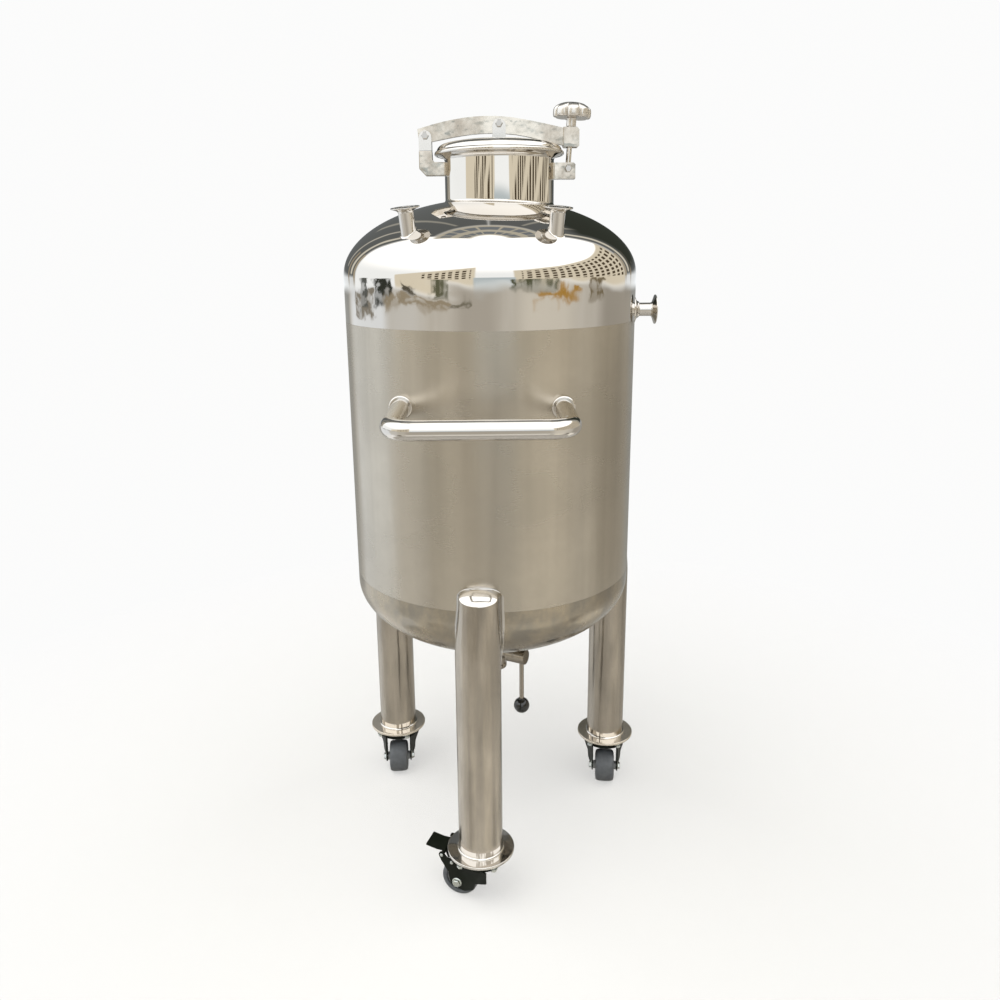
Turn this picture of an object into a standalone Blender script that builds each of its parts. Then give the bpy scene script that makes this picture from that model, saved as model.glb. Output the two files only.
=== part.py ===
"""Mobile stainless steel storage tank: a dished cylinder with a clamped manway,
three ferrules, a push handle, a bottom valve and three tube legs on casters."""

import math

import bmesh
import bpy
from mathutils import Matrix, Vector

# Where the tank's axis stands, seen from the middle of the footprint box.
AXIS_X = -0.01281
AXIS_Y = 0.07825

GAP = 0.0003
TINY = 0.00001

# Vessel
TANK_R = 0.250
WALL = 0.003
DISH = 0.125
SEAM_LOW_Z = 0.526
SEAM_TOP_Z = 0.9735
TANGENT_LOW_Z = 0.507
TANGENT_TOP_Z = 1.048
TANK_SIDES = 48
FINE_SIDES = 96
ARC_STEPS = 7

# Manway
MAN_X = 0.0175
NECK_R = 0.0915
NECK_IN_R = 0.0885
NECK_BOTTOM_Z = 1.147
LIP_R = 0.1038
LIP_Z = 1.2435
LIP_TOP_Z = 1.2465
SEAL_TOP_Z = 1.2495
LID_R = 0.108
LID_EDGE_Z = 1.2420
LID_TOP_Z = 1.2660
ROUND_SIDES = 32

# Clamp arm
ARM_HALF = 0.005
EAR_IN = 0.0055
EAR_OUT = 0.0095
HINGE_X = -0.1052
HINGE_Z = 1.2729
CENTRE_PIN_Z = 1.2909
FORK_LEFT_X = 0.124
FORK_RIGHT_X = 0.150
FORK_LOW_Z = 1.2535
FORK_TOP_Z = 1.2843
FORK_HALF = 0.014
SLOT_HALF = 0.0054
SLOT_X = 0.1295
PIN_R = 0.004
HEAD_R = 0.0063
HEAD_H = 0.003

# Swing bolt and knob
BOLT_X = 0.1325
BOLT_Z = 1.2195
BOLT_LEAN = math.radians(4.0)
BOLT_R = 0.0044
EYE_R = 0.0085
EYE_HALF = 0.005
SLEEVE_R = 0.0080
SLEEVE_LOW = 0.0668
KNOB_LOW = 0.0800
KNOB_TOP = 0.1042
KNOB_R = 0.031
KNOB_LOBES = 8

# Ferrules
PIPE_R = 0.0115
PIPE_IN_R = 0.0100
FERRULE_R = 0.0222
FERRULE_TILT = math.radians(9.0)
FERRULES = {"left": (-0.1235, -0.1680), "right": (0.1000, -0.1860)}
FERRULE_LENGTH = 0.0365
NOZZLE_Z = 0.986
NOZZLE_FACE_X = 0.289
NOZZLE_R = 0.02525

# Push handle
HANDLE_R = 0.0145
HANDLE_Z = 0.8555
HANDLE_LEFT_X = -0.140
HANDLE_RIGHT_X = 0.1105
HANDLE_BAR_Y = -0.392
HANDLE_BEND = 0.033

# Legs
LEG_CIRCLE = 0.258
LEG_R = 0.0375
LEG_WALL = 0.002
LEG_AZIMUTH = {"front": -95.72, "right": 24.3, "left": 144.3}
LEG_TOP_Z = 0.5520
CAP_RISE = 0.005
PAD_T = 0.003
FOOT_R = 0.0575
FOOT_TOP_Z = 0.0962
FOOT_LOW_Z = 0.0910
LEG_SIDES = 28

# Casters
PLATE_T = 0.003
PLATE_TOP_Z = FOOT_LOW_Z - GAP
PLATE_TURN = math.radians(-9.0)
CROWN_R = 0.042
CROWN_TOP_Z = 0.0832
CROWN_LOW_Z = 0.0745
CHEEK_IN = 0.0243
CHEEK_OUT = 0.0268
TRAIL = 0.035
WHEEL_R = 0.0325
AXLE_R = 0.004
CASTERS = {"front": 160.0, "right": -96.0, "left": -86.0}
FLARE_TURN = math.radians(19.8)
FLARE_LONG = 0.0500
BRAKE_T = 0.0625
BRAKE_Z = 0.0805
RIVET_T = 0.0440
RIVET_Z = 0.0700

# Outlet and valve
OUTLET_R = 0.019
OUTLET_IN_R = 0.0175
OUTLET_LOW_Z = 0.3530
BODY_R = 0.0250
BODY_LOW_Z = 0.3050
STEM_Z = 0.336
STEM_AZIMUTH = math.radians(-27.0)
STEM_R = 0.0143
LEVER_AT = 0.0595
LEVER_R = 0.0044
BALL_Z = 0.2325
BALL_R = 0.0152


def clear_scene():
    for obj in list(bpy.data.objects):
        bpy.data.objects.remove(obj, do_unlink=True)
    for mesh in list(bpy.data.meshes):
        bpy.data.meshes.remove(mesh)


def new_collection(name, hidden):
    found = bpy.data.collections.new(name)
    bpy.context.scene.collection.children.link(found)
    found.hide_render = hidden
    return found


def material(name, colour, metallic, roughness):
    mat = bpy.data.materials.new(name)
    mat.use_nodes = True
    shader = mat.node_tree.nodes["Principled BSDF"]
    shader.inputs["Base Color"].default_value = (*colour, 1.0)
    shader.inputs["Metallic"].default_value = metallic
    shader.inputs["Roughness"].default_value = roughness
    return mat


def place(obj, where, parent=None):
    where.objects.link(obj)
    if parent is not None:
        obj.parent = parent
    return obj


def empty(name, location, turn=0.0, parent=None):
    obj = bpy.data.objects.new(name, None)
    place(obj, PARTS, parent)
    obj.location = location
    obj.rotation_euler = (0.0, 0.0, turn)
    return obj


def settle(obj):
    """Gives the object the mesh that its modifiers make, with its caps welded."""
    bpy.context.view_layer.update()
    graph = bpy.context.evaluated_depsgraph_get()
    mesh = bpy.data.meshes.new_from_object(obj.evaluated_get(graph))
    tool = bmesh.new()
    tool.from_mesh(mesh)
    bmesh.ops.remove_doubles(tool, verts=tool.verts, dist=TINY)
    bmesh.ops.recalc_face_normals(tool, faces=tool.faces)
    tool.to_mesh(mesh)
    tool.free()
    return mesh


def mesh_object(name, mesh, where, matrix=None):
    obj = bpy.data.objects.new(name, mesh)
    where.objects.link(obj)
    if matrix is not None:
        obj.matrix_world = matrix
    return obj


def helper(obj):
    obj.hide_render = True
    obj.display_type = "WIRE"
    return obj


def turned(name, profile, sides, matrix=None):
    """A profile of (radius, height) turned about local Z, as a closed body."""
    mesh = bpy.data.meshes.new(name)
    count = len(profile)
    open_ends = profile[0][0] < TINY and profile[-1][0] < TINY
    edges = [(i, i + 1) for i in range(count - 1)]
    if not open_ends:
        edges.append((count - 1, 0))
    mesh.from_pydata([(r, 0.0, z) for r, z in profile], edges, [])
    raw = bpy.data.objects.new(name + "_profile", mesh)
    CUTTERS.objects.link(raw)
    screw = raw.modifiers.new("Turn", "SCREW")
    screw.axis = "Z"
    screw.steps = sides
    screw.render_steps = sides
    screw.use_merge_vertices = True
    screw.merge_threshold = TINY
    solid = settle(raw)
    bpy.data.objects.remove(raw, do_unlink=True)
    return mesh_object(name, solid, CUTTERS, matrix)


def plate(name, outline, thickness, matrix=None, holes=()):
    """A flat outline in local X and Y, with its thickness centred on local Z."""
    curve = bpy.data.curves.new(name, "CURVE")
    curve.dimensions = "2D"
    curve.fill_mode = "BOTH"
    curve.extrude = thickness / 2.0
    for loop in (outline, *holes):
        line = curve.splines.new("POLY")
        line.points.add(len(loop) - 1)
        for point, (x, y) in zip(line.points, loop):
            point.co = (x, y, 0.0, 1.0)
        line.use_cyclic_u = True
    raw = bpy.data.objects.new(name + "_outline", curve)
    CUTTERS.objects.link(raw)
    solid = settle(raw)
    bpy.data.objects.remove(raw, do_unlink=True)
    return mesh_object(name, solid, CUTTERS, matrix)


def cylinder(name, radius, start, end, sides=24):
    """A round bar between two points."""
    start, end = Vector(start), Vector(end)
    mesh = bpy.data.meshes.new(name)
    tool = bmesh.new()
    bmesh.ops.create_cone(
        tool,
        cap_ends=True,
        segments=sides,
        radius1=radius,
        radius2=radius,
        depth=(end - start).length,
    )
    tool.to_mesh(mesh)
    tool.free()
    turn = (end - start).to_track_quat("Z", "Y").to_matrix().to_4x4()
    return mesh_object(name, mesh, CUTTERS, Matrix.Translation((start + end) / 2) @ turn)


def box(name, low, high):
    mesh = bpy.data.meshes.new(name)
    tool = bmesh.new()
    bmesh.ops.create_cube(tool, size=1.0)
    low, high = Vector(low), Vector(high)
    bmesh.ops.scale(tool, verts=tool.verts, vec=high - low)
    bmesh.ops.translate(tool, verts=tool.verts, vec=(low + high) / 2)
    tool.to_mesh(mesh)
    tool.free()
    return mesh_object(name, mesh, CUTTERS)


def combine(obj, other, operation):
    """Cuts, joins or trims the object with another one, which is used up."""
    change = obj.modifiers.new(operation.title(), "BOOLEAN")
    change.operation = operation
    change.solver = "EXACT"
    change.object = helper(other)
    mesh = settle(obj)
    obj.modifiers.clear()
    obj.data = mesh
    return obj


def cut(obj, *others):
    for other in others:
        combine(obj, other, "DIFFERENCE")
        bpy.data.objects.remove(other, do_unlink=True)
    return obj


def join(obj, *others):
    for other in others:
        combine(obj, other, "UNION")
        bpy.data.objects.remove(other, do_unlink=True)
    return obj


def finish(obj, mat, parent):
    """Puts the shape's place in its mesh, gives it its material and shows it."""
    mesh = obj.data
    mesh.transform(obj.matrix_world)
    name = obj.name
    CUTTERS.objects.unlink(obj)
    obj.matrix_world = Matrix.Identity(4)
    PARTS.objects.link(obj)
    obj.name = name
    obj.parent = parent
    mesh.materials.clear()
    mesh.materials.append(mat)
    mesh.shade_smooth()
    mesh.set_sharp_from_angle(angle=math.radians(35.0))
    return obj


def copy_of(obj, name, parent):
    other = bpy.data.objects.new(name, obj.data)
    PARTS.objects.link(other)
    other.parent = parent
    return other


def ellipse(radius, depth, centre_z, upward, steps=ARC_STEPS):
    """Points of a quarter of a 2:1 head, from the axis out to the tangent line."""
    sign = 1.0 if upward else -1.0
    points = []
    for i in range(steps + 1):
        t = math.radians(90.0) * (1.0 - i / steps)
        points.append((radius * math.cos(t), centre_z + sign * depth * math.sin(t)))
    points[0] = (0.0, centre_z + sign * depth)
    return points


def tank_solid(name, offset, sides=FINE_SIDES):
    """The whole outside of the vessel, grown by an offset, as one solid."""
    top = ellipse(TANK_R + offset, DISH + offset, TANGENT_TOP_Z, True)
    low = ellipse(TANK_R + offset, DISH + offset, TANGENT_LOW_Z, False)
    return turned(name, top + low[::-1], sides)


def upright(y=0.0):
    """Local X and Y of a plate become world X and Z, at this Y."""
    return Matrix.Translation((0.0, y, 0.0)) @ Matrix.Rotation(math.radians(90.0), 4, "X")


def circle(x, y, radius, sides=20, start=0.0, sweep=360.0):
    whole = sweep >= 360.0
    count = sides if whole else sides + 1
    return [
        (
            x + radius * math.cos(math.radians(start + sweep * i / sides)),
            y + radius * math.sin(math.radians(start + sweep * i / sides)),
        )
        for i in range(count)
    ]


def rounded_box(width, length, radius, steps=4):
    points = []
    for quarter, (sx, sy) in enumerate(((1, 1), (-1, 1), (-1, -1), (1, -1))):
        cx = sx * (width / 2 - radius)
        cy = sy * (length / 2 - radius)
        points += circle(cx, cy, radius, steps, 90.0 * quarter, 90.0)
    return points


def dome_height(x, y):
    return TANGENT_TOP_Z + DISH * math.sqrt(1.0 - (x * x + y * y) / TANK_R**2)


def vessel(tank):
    shell = turned(
        "shell",
        [
            (TANK_R, SEAM_TOP_Z - GAP),
            (TANK_R, SEAM_LOW_Z + GAP),
            (TANK_R - WALL, SEAM_LOW_Z + GAP),
            (TANK_R - WALL, SEAM_TOP_Z - GAP),
        ],
        TANK_SIDES,
    )
    outer = ellipse(TANK_R, DISH, TANGENT_TOP_Z, True)
    inner = ellipse(TANK_R - WALL, DISH - WALL, TANGENT_TOP_Z, True)
    ends = [(TANK_R, SEAM_TOP_Z), (TANK_R - WALL, SEAM_TOP_Z)]
    top = turned("top_head", outer + ends + inner[::-1], TANK_SIDES)
    outer = ellipse(TANK_R, DISH, TANGENT_LOW_Z, False)
    inner = ellipse(TANK_R - WALL, DISH - WALL, TANGENT_LOW_Z, False)
    ends = [(TANK_R - WALL, SEAM_LOW_Z), (TANK_R, SEAM_LOW_Z)]
    low = turned("bottom_head", inner + ends + outer[::-1], TANK_SIDES)

    cut(
        top,
        cylinder("man_hole", NECK_R + GAP, (MAN_X, 0, 1.05), (MAN_X, 0, 1.3), ROUND_SIDES),
        cylinder(
            "nozzle_hole",
            PIPE_R + GAP,
            (0.2, 0, NOZZLE_Z),
            (0.3, 0, NOZZLE_Z),
        ),
    )
    for side in FERRULES:
        base, tip = ferrule_line(side)
        reach = (tip - base).normalized() * 0.05
        cut(top, cylinder("ferrule_hole", PIPE_R + GAP, base - reach, base + reach))
    cut(low, cylinder("drain_hole", OUTLET_R + GAP, (0, 0, 0.3), (0, 0, 0.42), 32))
    finish(shell, BRUSHED, tank)
    finish(top, MIRROR, tank)
    finish(low, SATIN, tank)


def ferrule_line(side):
    x, y = FERRULES[side]
    base = Vector((x, y, dome_height(x, y)))
    lean = math.sin(FERRULE_TILT) / math.hypot(x, y)
    way = Vector((x * lean, y * lean, math.cos(FERRULE_TILT)))
    return base, base + way * FERRULE_LENGTH


def flange_profile(face, foot, pipe_r, pipe_in, flange_r):
    """A clamp ferrule: flat face, 20 degree back and a pipe down to its foot."""
    edge = 0.0016
    back = face - edge - (flange_r - pipe_r - 0.004) * math.tan(math.radians(20.0))
    return [
        (pipe_in, face),
        (flange_r - 0.0006, face),
        (flange_r, face - 0.0006),
        (flange_r, face - edge),
        (pipe_r + 0.004, back),
        (pipe_r + 0.001, back - 0.0015),
        (pipe_r, back - 0.004),
        (pipe_r, foot),
        (pipe_in, foot),
    ]


def ferrules(tank):
    for side in FERRULES:
        base, tip = ferrule_line(side)
        turn = (tip - base).to_track_quat("Z", "Y").to_matrix().to_4x4()
        shape = flange_profile(FERRULE_LENGTH, -0.019, PIPE_R, PIPE_IN_R, FERRULE_R)
        piece = turned("ferrule_" + side, shape, 20, Matrix.Translation(base) @ turn)
        finish(piece, MIRROR, tank)

    shape = flange_profile(NOZZLE_FACE_X, 0.240, PIPE_R, PIPE_IN_R, NOZZLE_R)
    along = Matrix.Translation((0, 0, NOZZLE_Z)) @ Matrix.Rotation(math.radians(90), 4, "Y")
    collar = turned(
        "collar",
        [
            (PIPE_IN_R + 0.0005, 0.2600),
            (PIPE_R + 0.0022, 0.2592),
            (0.0150, 0.2560),
            (0.0235, 0.2515),
            (0.0240, 0.2450),
            (PIPE_IN_R + 0.0005, 0.2450),
        ],
        24,
        along,
    )
    cut(collar, tank_solid("tank_outside", GAP))
    nozzle = turned("side_nozzle", shape, 24, along)
    finish(join(nozzle, collar), MIRROR, tank)


def manway(tank):
    centre = Matrix.Translation((MAN_X, 0, 0))
    neck = turned(
        "manway_neck",
        [
            (LIP_R - 0.0008, LIP_TOP_Z),
            (LIP_R, LIP_TOP_Z - 0.0008),
            (LIP_R, LIP_Z),
            (NECK_R + 0.002, LIP_Z),
            (NECK_R, LIP_Z - 0.002),
            (NECK_R, NECK_BOTTOM_Z),
            (NECK_IN_R, NECK_BOTTOM_Z),
            (NECK_IN_R, LIP_TOP_Z),
        ],
        ROUND_SIDES,
        centre,
    )
    seal = turned(
        "lid_seal",
        [
            (0.1020, SEAL_TOP_Z),
            (0.1020, LIP_TOP_Z + GAP),
            (NECK_R, LIP_TOP_Z + GAP),
            (NECK_R, SEAL_TOP_Z),
        ],
        ROUND_SIDES,
        centre,
    )
    under = SEAL_TOP_Z + GAP
    lid = turned(
        "lid",
        [
            (0.0, LID_TOP_Z),
            (0.035, LID_TOP_Z - 0.0008),
            (0.066, LID_TOP_Z - 0.0032),
            (0.085, LID_TOP_Z - 0.0068),
            (0.096, LID_TOP_Z - 0.0090),
            (0.1025, 1.2548),
            (0.1062, 1.2518),
            (LID_R, 1.2485),
            (0.1077, 1.2450),
            (0.1065, LID_EDGE_Z),
            (LIP_R + 0.0008, LID_EDGE_Z),
            (LIP_R + 0.0006, under),
            (0.0890, under),
            (0.0850, 1.2555),
            (0.0660, 1.2598),
            (0.0350, LID_TOP_Z - 0.0040),
            (0.0, LID_TOP_Z - 0.0032),
        ],
        ROUND_SIDES,
        centre,
    )
    finish(neck, MIRROR, tank)
    finish(seal, RUBBER, tank)

    # Two ears on the lid, with the arm's centre pin through them.
    half = 0.0111
    pin_hole = circle(MAN_X, CENTRE_PIN_Z, PIN_R + GAP, 16)
    top = circle(MAN_X, CENTRE_PIN_Z - 0.0035, half, 10, 0.0, 180.0)
    outline = [(MAN_X - half, LID_TOP_Z - 0.0006), (MAN_X + half, LID_TOP_Z - 0.0006)] + top
    thick = EAR_OUT - EAR_IN
    middle = (EAR_OUT + EAR_IN) / 2
    ears = [plate("ear", outline, thick, upright(s * middle), [pin_hole]) for s in (-1, 1)]
    base_low = LID_TOP_Z - 0.0012
    foot = box("foot", (MAN_X - half, -EAR_OUT, base_low), (MAN_X + half, EAR_OUT, 1.2690))
    bracket = join(foot, *ears)
    bracket.name = "lid_bracket"
    cut(bracket, grown_lid(centre))
    finish(bracket, SATIN, tank)
    finish(lid, MIRROR, tank)


def grown_lid(centre):
    rise = LID_TOP_Z + GAP
    return turned(
        "grown_lid",
        [(0.0, rise), (0.035, rise - 0.0008), (0.05, rise - 0.002), (0.05, 1.25), (0.0, 1.25)],
        FINE_SIDES,
        centre,
    )


def arm_edge(points, steps):
    """A smooth line through a few points of the arm's edge."""
    line = []
    count = len(points)
    for i in range(count - 1):
        p0 = points[max(i - 1, 0)]
        p1, p2 = points[i], points[i + 1]
        p3 = points[min(i + 2, count - 1)]
        for k in range(steps):
            t = k / steps
            line.append(
                tuple(
                    0.5
                    * (
                        2 * b
                        + (c - a) * t
                        + (2 * a - 5 * b + 4 * c - d) * t * t
                        + (3 * b - a - 3 * c + d) * t**3
                    )
                    for a, b, c, d in zip(p0, p1, p2, p3)
                )
            )
    return line + [points[-1]]


def clamp(tank, bolt, spin):
    top = [(-0.1180, 1.2835), (-0.075, 1.2948), (-0.025, 1.3022), (0.025, 1.3022)]
    top += [(0.075, 1.2945), (0.128, 1.2832)]
    low = [(0.128, 1.2558), (0.105, 1.2608), (0.080, 1.2670), (0.045, 1.2740), (0.004, 1.2764)]
    low += [(-0.030, 1.2745), (-0.060, 1.2703), (-0.094, 1.2640)]
    edge = arm_edge(top, 3) + arm_edge(low, 2) + [(-0.1110, 1.2640), (-0.1163, 1.2700)]
    hinge_hole = circle(HINGE_X, HINGE_Z, PIN_R + GAP, 16)
    centre_hole = circle(MAN_X, CENTRE_PIN_Z, PIN_R + GAP, 16)
    arm = plate("clamp_arm", edge, 2 * ARM_HALF, upright(), [hinge_hole, centre_hole])
    corner = 0.004
    block_outline = [
        (FORK_LEFT_X, FORK_LOW_Z + 0.002),
        (FORK_LEFT_X + 0.002, FORK_LOW_Z),
        (FORK_RIGHT_X - 0.0015, FORK_LOW_Z),
        (FORK_RIGHT_X, FORK_LOW_Z + 0.0015),
        (FORK_RIGHT_X, FORK_TOP_Z - corner),
        (FORK_RIGHT_X - corner, FORK_TOP_Z),
        (FORK_LEFT_X, FORK_TOP_Z),
    ]
    block = plate("block", block_outline, 2 * FORK_HALF, upright())
    join(arm, block)
    cut(arm, box("slot", (SLOT_X, -SLOT_HALF, 1.24), (0.16, SLOT_HALF, 1.30)))
    finish(arm, SATIN, tank)

    # Hinge lug welded to the neck, with its clevis and the far lug for the swing bolt.
    lug_outline = [
        (-0.0700, 1.2314),
        (-0.0905, 1.2314),
        (-0.0938, 1.2350),
        (-0.0943, 1.2490),
        (-0.1160, 1.2490),
        (-0.1162, 1.2209),
        (-0.1055, 1.2100),
        (-0.0700, 1.2100),
    ]
    neck_cut = cylinder("neck_cut", NECK_R + GAP, (MAN_X, 0, 1.1), (MAN_X, 0, 1.2431), FINE_SIDES)
    lug = plate("hinge_lug", lug_outline, 2 * EAR_OUT, upright())
    cut(lug, neck_cut)
    finish(lug, SATIN, tank)
    half = 0.0106
    ear_top = circle(HINGE_X, HINGE_Z - 0.0025, half, 10, 0.0, 180.0)
    ear = [(HINGE_X - half, 1.2493), (HINGE_X + half, 1.2493)] + ear_top
    middle = (EAR_OUT + EAR_IN) / 2
    thick = EAR_OUT - EAR_IN
    ears = [plate("ear", ear, thick, upright(s * middle), [hinge_hole]) for s in (-1, 1)]
    web = box("web", (HINGE_X - half, -EAR_OUT, 1.2493), (HINGE_X + half, EAR_OUT, 1.2530))
    clevis = join(web, *ears)
    clevis.name = "hinge_clevis"
    finish(clevis, SATIN, tank)

    right = 0.1445
    ear = [(0.1000, 1.2072), (right, 1.2072), (right, 1.2262), (right - 0.003, 1.2290)]
    ear += [(0.1000, 1.2290)]
    bolt_hole = circle(BOLT_X, BOLT_Z, PIN_R + GAP, 16)
    lug_in = EYE_HALF + 0.0006
    lug_out = lug_in + 0.005
    middle = (lug_in + lug_out) / 2
    ears = [plate("ear", ear, 0.005, upright(s * middle), [bolt_hole]) for s in (-1, 1)]
    base = box("base", (0.1000, -lug_out - 0.001, 1.2032), (right, lug_out + 0.001, 1.2078))
    far = join(base, *ears)
    far.name = "bolt_lug"
    neck_cut = cylinder("neck_cut", NECK_R + GAP, (MAN_X, 0, 1.1), (MAN_X, 0, 1.2431), FINE_SIDES)
    cut(far, neck_cut)
    finish(far, SATIN, tank)

    finish(pin("hinge_pin", HINGE_X, HINGE_Z, EAR_OUT, 6), MIRROR, tank)
    finish(pin("centre_pin", MAN_X, CENTRE_PIN_Z, EAR_OUT, 6), MIRROR, tank)
    finish(pin("bolt_pin", BOLT_X, BOLT_Z, lug_out, 6), MIRROR, tank)

    # Swing bolt, in the space of its pivot: local Z runs up the rod.
    eye = plate("swing_bolt", circle(0, 0, EYE_R, 24), 2 * EYE_HALF, upright())
    join(eye, cylinder("rod", BOLT_R, (0, 0, 0.004), (0, 0, KNOB_TOP - 0.012), 20))
    cut(eye, cylinder("eye_hole", PIN_R + GAP, (0, -0.02, 0), (0, 0.02, 0), 16))
    finish(eye, MIRROR, bolt)

    outline = []
    for i in range(KNOB_LOBES * 8):
        turn = 2 * math.pi * i / (KNOB_LOBES * 8)
        wave = abs(math.cos(KNOB_LOBES * turn / 2))
        radius = KNOB_R - 0.0030 * (1.0 - wave) ** 1.5
        outline.append((radius * math.cos(turn), radius * math.sin(turn)))
    middle = (KNOB_LOW + KNOB_TOP) / 2
    knob = plate("clamp_knob", outline, KNOB_TOP - KNOB_LOW, Matrix.Translation((0, 0, middle)))
    limit = turned(
        "limit",
        [
            (0.0, KNOB_TOP - 0.0002),
            (0.014, KNOB_TOP - 0.0010),
            (0.0240, KNOB_TOP - 0.0040),
            (0.0290, KNOB_TOP - 0.0085),
            (0.0316, KNOB_TOP - 0.0125),
            (0.0316, KNOB_LOW + 0.0015),
            (0.0295, KNOB_LOW + 0.0002),
            (0.0, KNOB_LOW + 0.0002),
        ],
        32,
    )
    combine(knob, limit, "INTERSECT")
    bpy.data.objects.remove(limit, do_unlink=True)
    join(knob, cylinder("sleeve", SLEEVE_R, (0, 0, SLEEVE_LOW), (0, 0, KNOB_LOW + 0.003), 24))
    bore_top = KNOB_TOP - 0.012 + GAP
    cut(knob, cylinder("bore", BOLT_R + GAP, (0, 0, 0.05), (0, 0, bore_top), 20))
    finish(knob, MIRROR, spin)


def pin(name, x, z, out, head_sides):
    """A cross pin with a head on each side of its ears."""
    shaft = cylinder(name, PIN_R, (x, -out - 0.001, z), (x, out + 0.001, z), 16)
    heads = []
    for side in (-1, 1):
        near = side * (out + GAP)
        far = side * (out + GAP + HEAD_H)
        heads.append(cylinder("head", HEAD_R, (x, near, z), (x, far, z), head_sides * 2))
    return join(shaft, *heads)


def handle(tank):
    bend = HANDLE_BEND
    path = [(HANDLE_LEFT_X, -0.190)]
    path += arc_points(HANDLE_LEFT_X + bend, HANDLE_BAR_Y + bend, bend, 180.0, 270.0)
    path += arc_points(HANDLE_RIGHT_X - bend, HANDLE_BAR_Y + bend, bend, 270.0, 360.0)
    path += [(HANDLE_RIGHT_X, -0.190)]
    curve = bpy.data.curves.new("handle", "CURVE")
    curve.dimensions = "3D"
    curve.bevel_depth = HANDLE_R
    curve.bevel_resolution = 4
    curve.use_fill_caps = True
    line = curve.splines.new("POLY")
    line.points.add(len(path) - 1)
    for point, (x, y) in zip(line.points, path):
        point.co = (x, y, HANDLE_Z, 1.0)
    raw = bpy.data.objects.new("handle_path", curve)
    CUTTERS.objects.link(raw)
    tube = mesh_object("handle", settle(raw), CUTTERS, raw.matrix_world.copy())
    bpy.data.objects.remove(raw, do_unlink=True)
    for x in (HANDLE_LEFT_X, HANDLE_RIGHT_X):
        y = -math.sqrt(TANK_R**2 - x * x)
        near = (x, y - 0.012, HANDLE_Z)
        join(tube, cylinder("ring", HANDLE_R + 0.004, (x, y + 0.03, HANDLE_Z), near))
    cut(tube, tank_solid("tank_outside", GAP))
    finish(tube, MIRROR, tank)


def arc_points(cx, cy, radius, start, end, steps=7):
    return circle(cx, cy, radius, steps, start, end - start)


def legs(tank):
    """One leg, its pad and cap are shaped at azimuth 0 and then turned into place."""
    x = LEG_CIRCLE
    tube = turned(
        "leg",
        [
            (LEG_R, LEG_TOP_Z),
            (LEG_R, FOOT_TOP_Z + GAP),
            (LEG_R - LEG_WALL, FOOT_TOP_Z + GAP),
            (LEG_R - LEG_WALL, LEG_TOP_Z),
        ],
        LEG_SIDES,
        Matrix.Translation((x, 0, 0)),
    )
    cut(tube, tank_solid("tank_outside", PAD_T + 2 * GAP))
    cap = turned(
        "leg_cap",
        [
            (0.0, LEG_TOP_Z + CAP_RISE),
            (0.014, LEG_TOP_Z + CAP_RISE - 0.0007),
            (0.026, LEG_TOP_Z + CAP_RISE - 0.0022),
            (0.0345, LEG_TOP_Z + CAP_RISE - 0.0040),
            (LEG_R, LEG_TOP_Z + 0.0008),
            (LEG_R, LEG_TOP_Z + GAP),
            (0.0, LEG_TOP_Z + GAP),
        ],
        LEG_SIDES,
        Matrix.Translation((x, 0, 0)),
    )
    cut(cap, tank_solid("tank_outside", PAD_T + 2 * GAP))

    # The pad follows the wall between the leg and the vessel.
    outer = ellipse(TANK_R + PAD_T + GAP, DISH + PAD_T + GAP, TANGENT_LOW_Z, False)
    inner = ellipse(TANK_R + GAP, DISH + GAP, TANGENT_LOW_Z, False)
    high = LEG_TOP_Z + 0.05
    ring = [(TANK_R + PAD_T + GAP, high)] + outer[:3:-1] + inner[4:] + [(TANK_R + GAP, high)]
    pad = turned("leg_pad", ring, FINE_SIDES)
    half = LEG_R + 0.0045
    arch = circle(0.0, LEG_TOP_Z - 0.020, half, 12, 0.0, 180.0)
    outline = [(-half, 0.452), (half, 0.452)] + arch
    stand = Matrix.Translation((0.25, 0, 0)) @ Matrix.Rotation(math.radians(90), 4, "Z")
    window = plate("window", outline, 0.12, stand @ upright())
    combine(pad, window, "INTERSECT")
    bpy.data.objects.remove(window, do_unlink=True)

    foot = turned(
        "foot_flange",
        [
            (0.0, FOOT_TOP_Z),
            (0.0550, FOOT_TOP_Z),
            (FOOT_R - 0.0008, FOOT_TOP_Z - 0.0006),
            (FOOT_R, FOOT_TOP_Z - 0.0020),
            (FOOT_R, FOOT_LOW_Z + 0.0012),
            (FOOT_R - 0.0015, FOOT_LOW_Z),
            (0.0, FOOT_LOW_Z),
        ],
        36,
        Matrix.Translation((x, 0, 0)),
    )
    pieces = ((tube, BRUSHED), (cap, MIRROR), (pad, BRUSHED), (foot, MIRROR))
    for piece, mat in pieces:
        base = piece.name
        finish(piece, mat, tank)
        for key, azimuth in LEG_AZIMUTH.items():
            other = copy_of(piece, base + "_" + key, tank)
            other.rotation_euler = (0.0, 0.0, math.radians(azimuth))
        bpy.data.objects.remove(piece, do_unlink=True)


def leg_place(key):
    turn = math.radians(LEG_AZIMUTH[key])
    return LEG_CIRCLE * math.cos(turn), LEG_CIRCLE * math.sin(turn)


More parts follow.
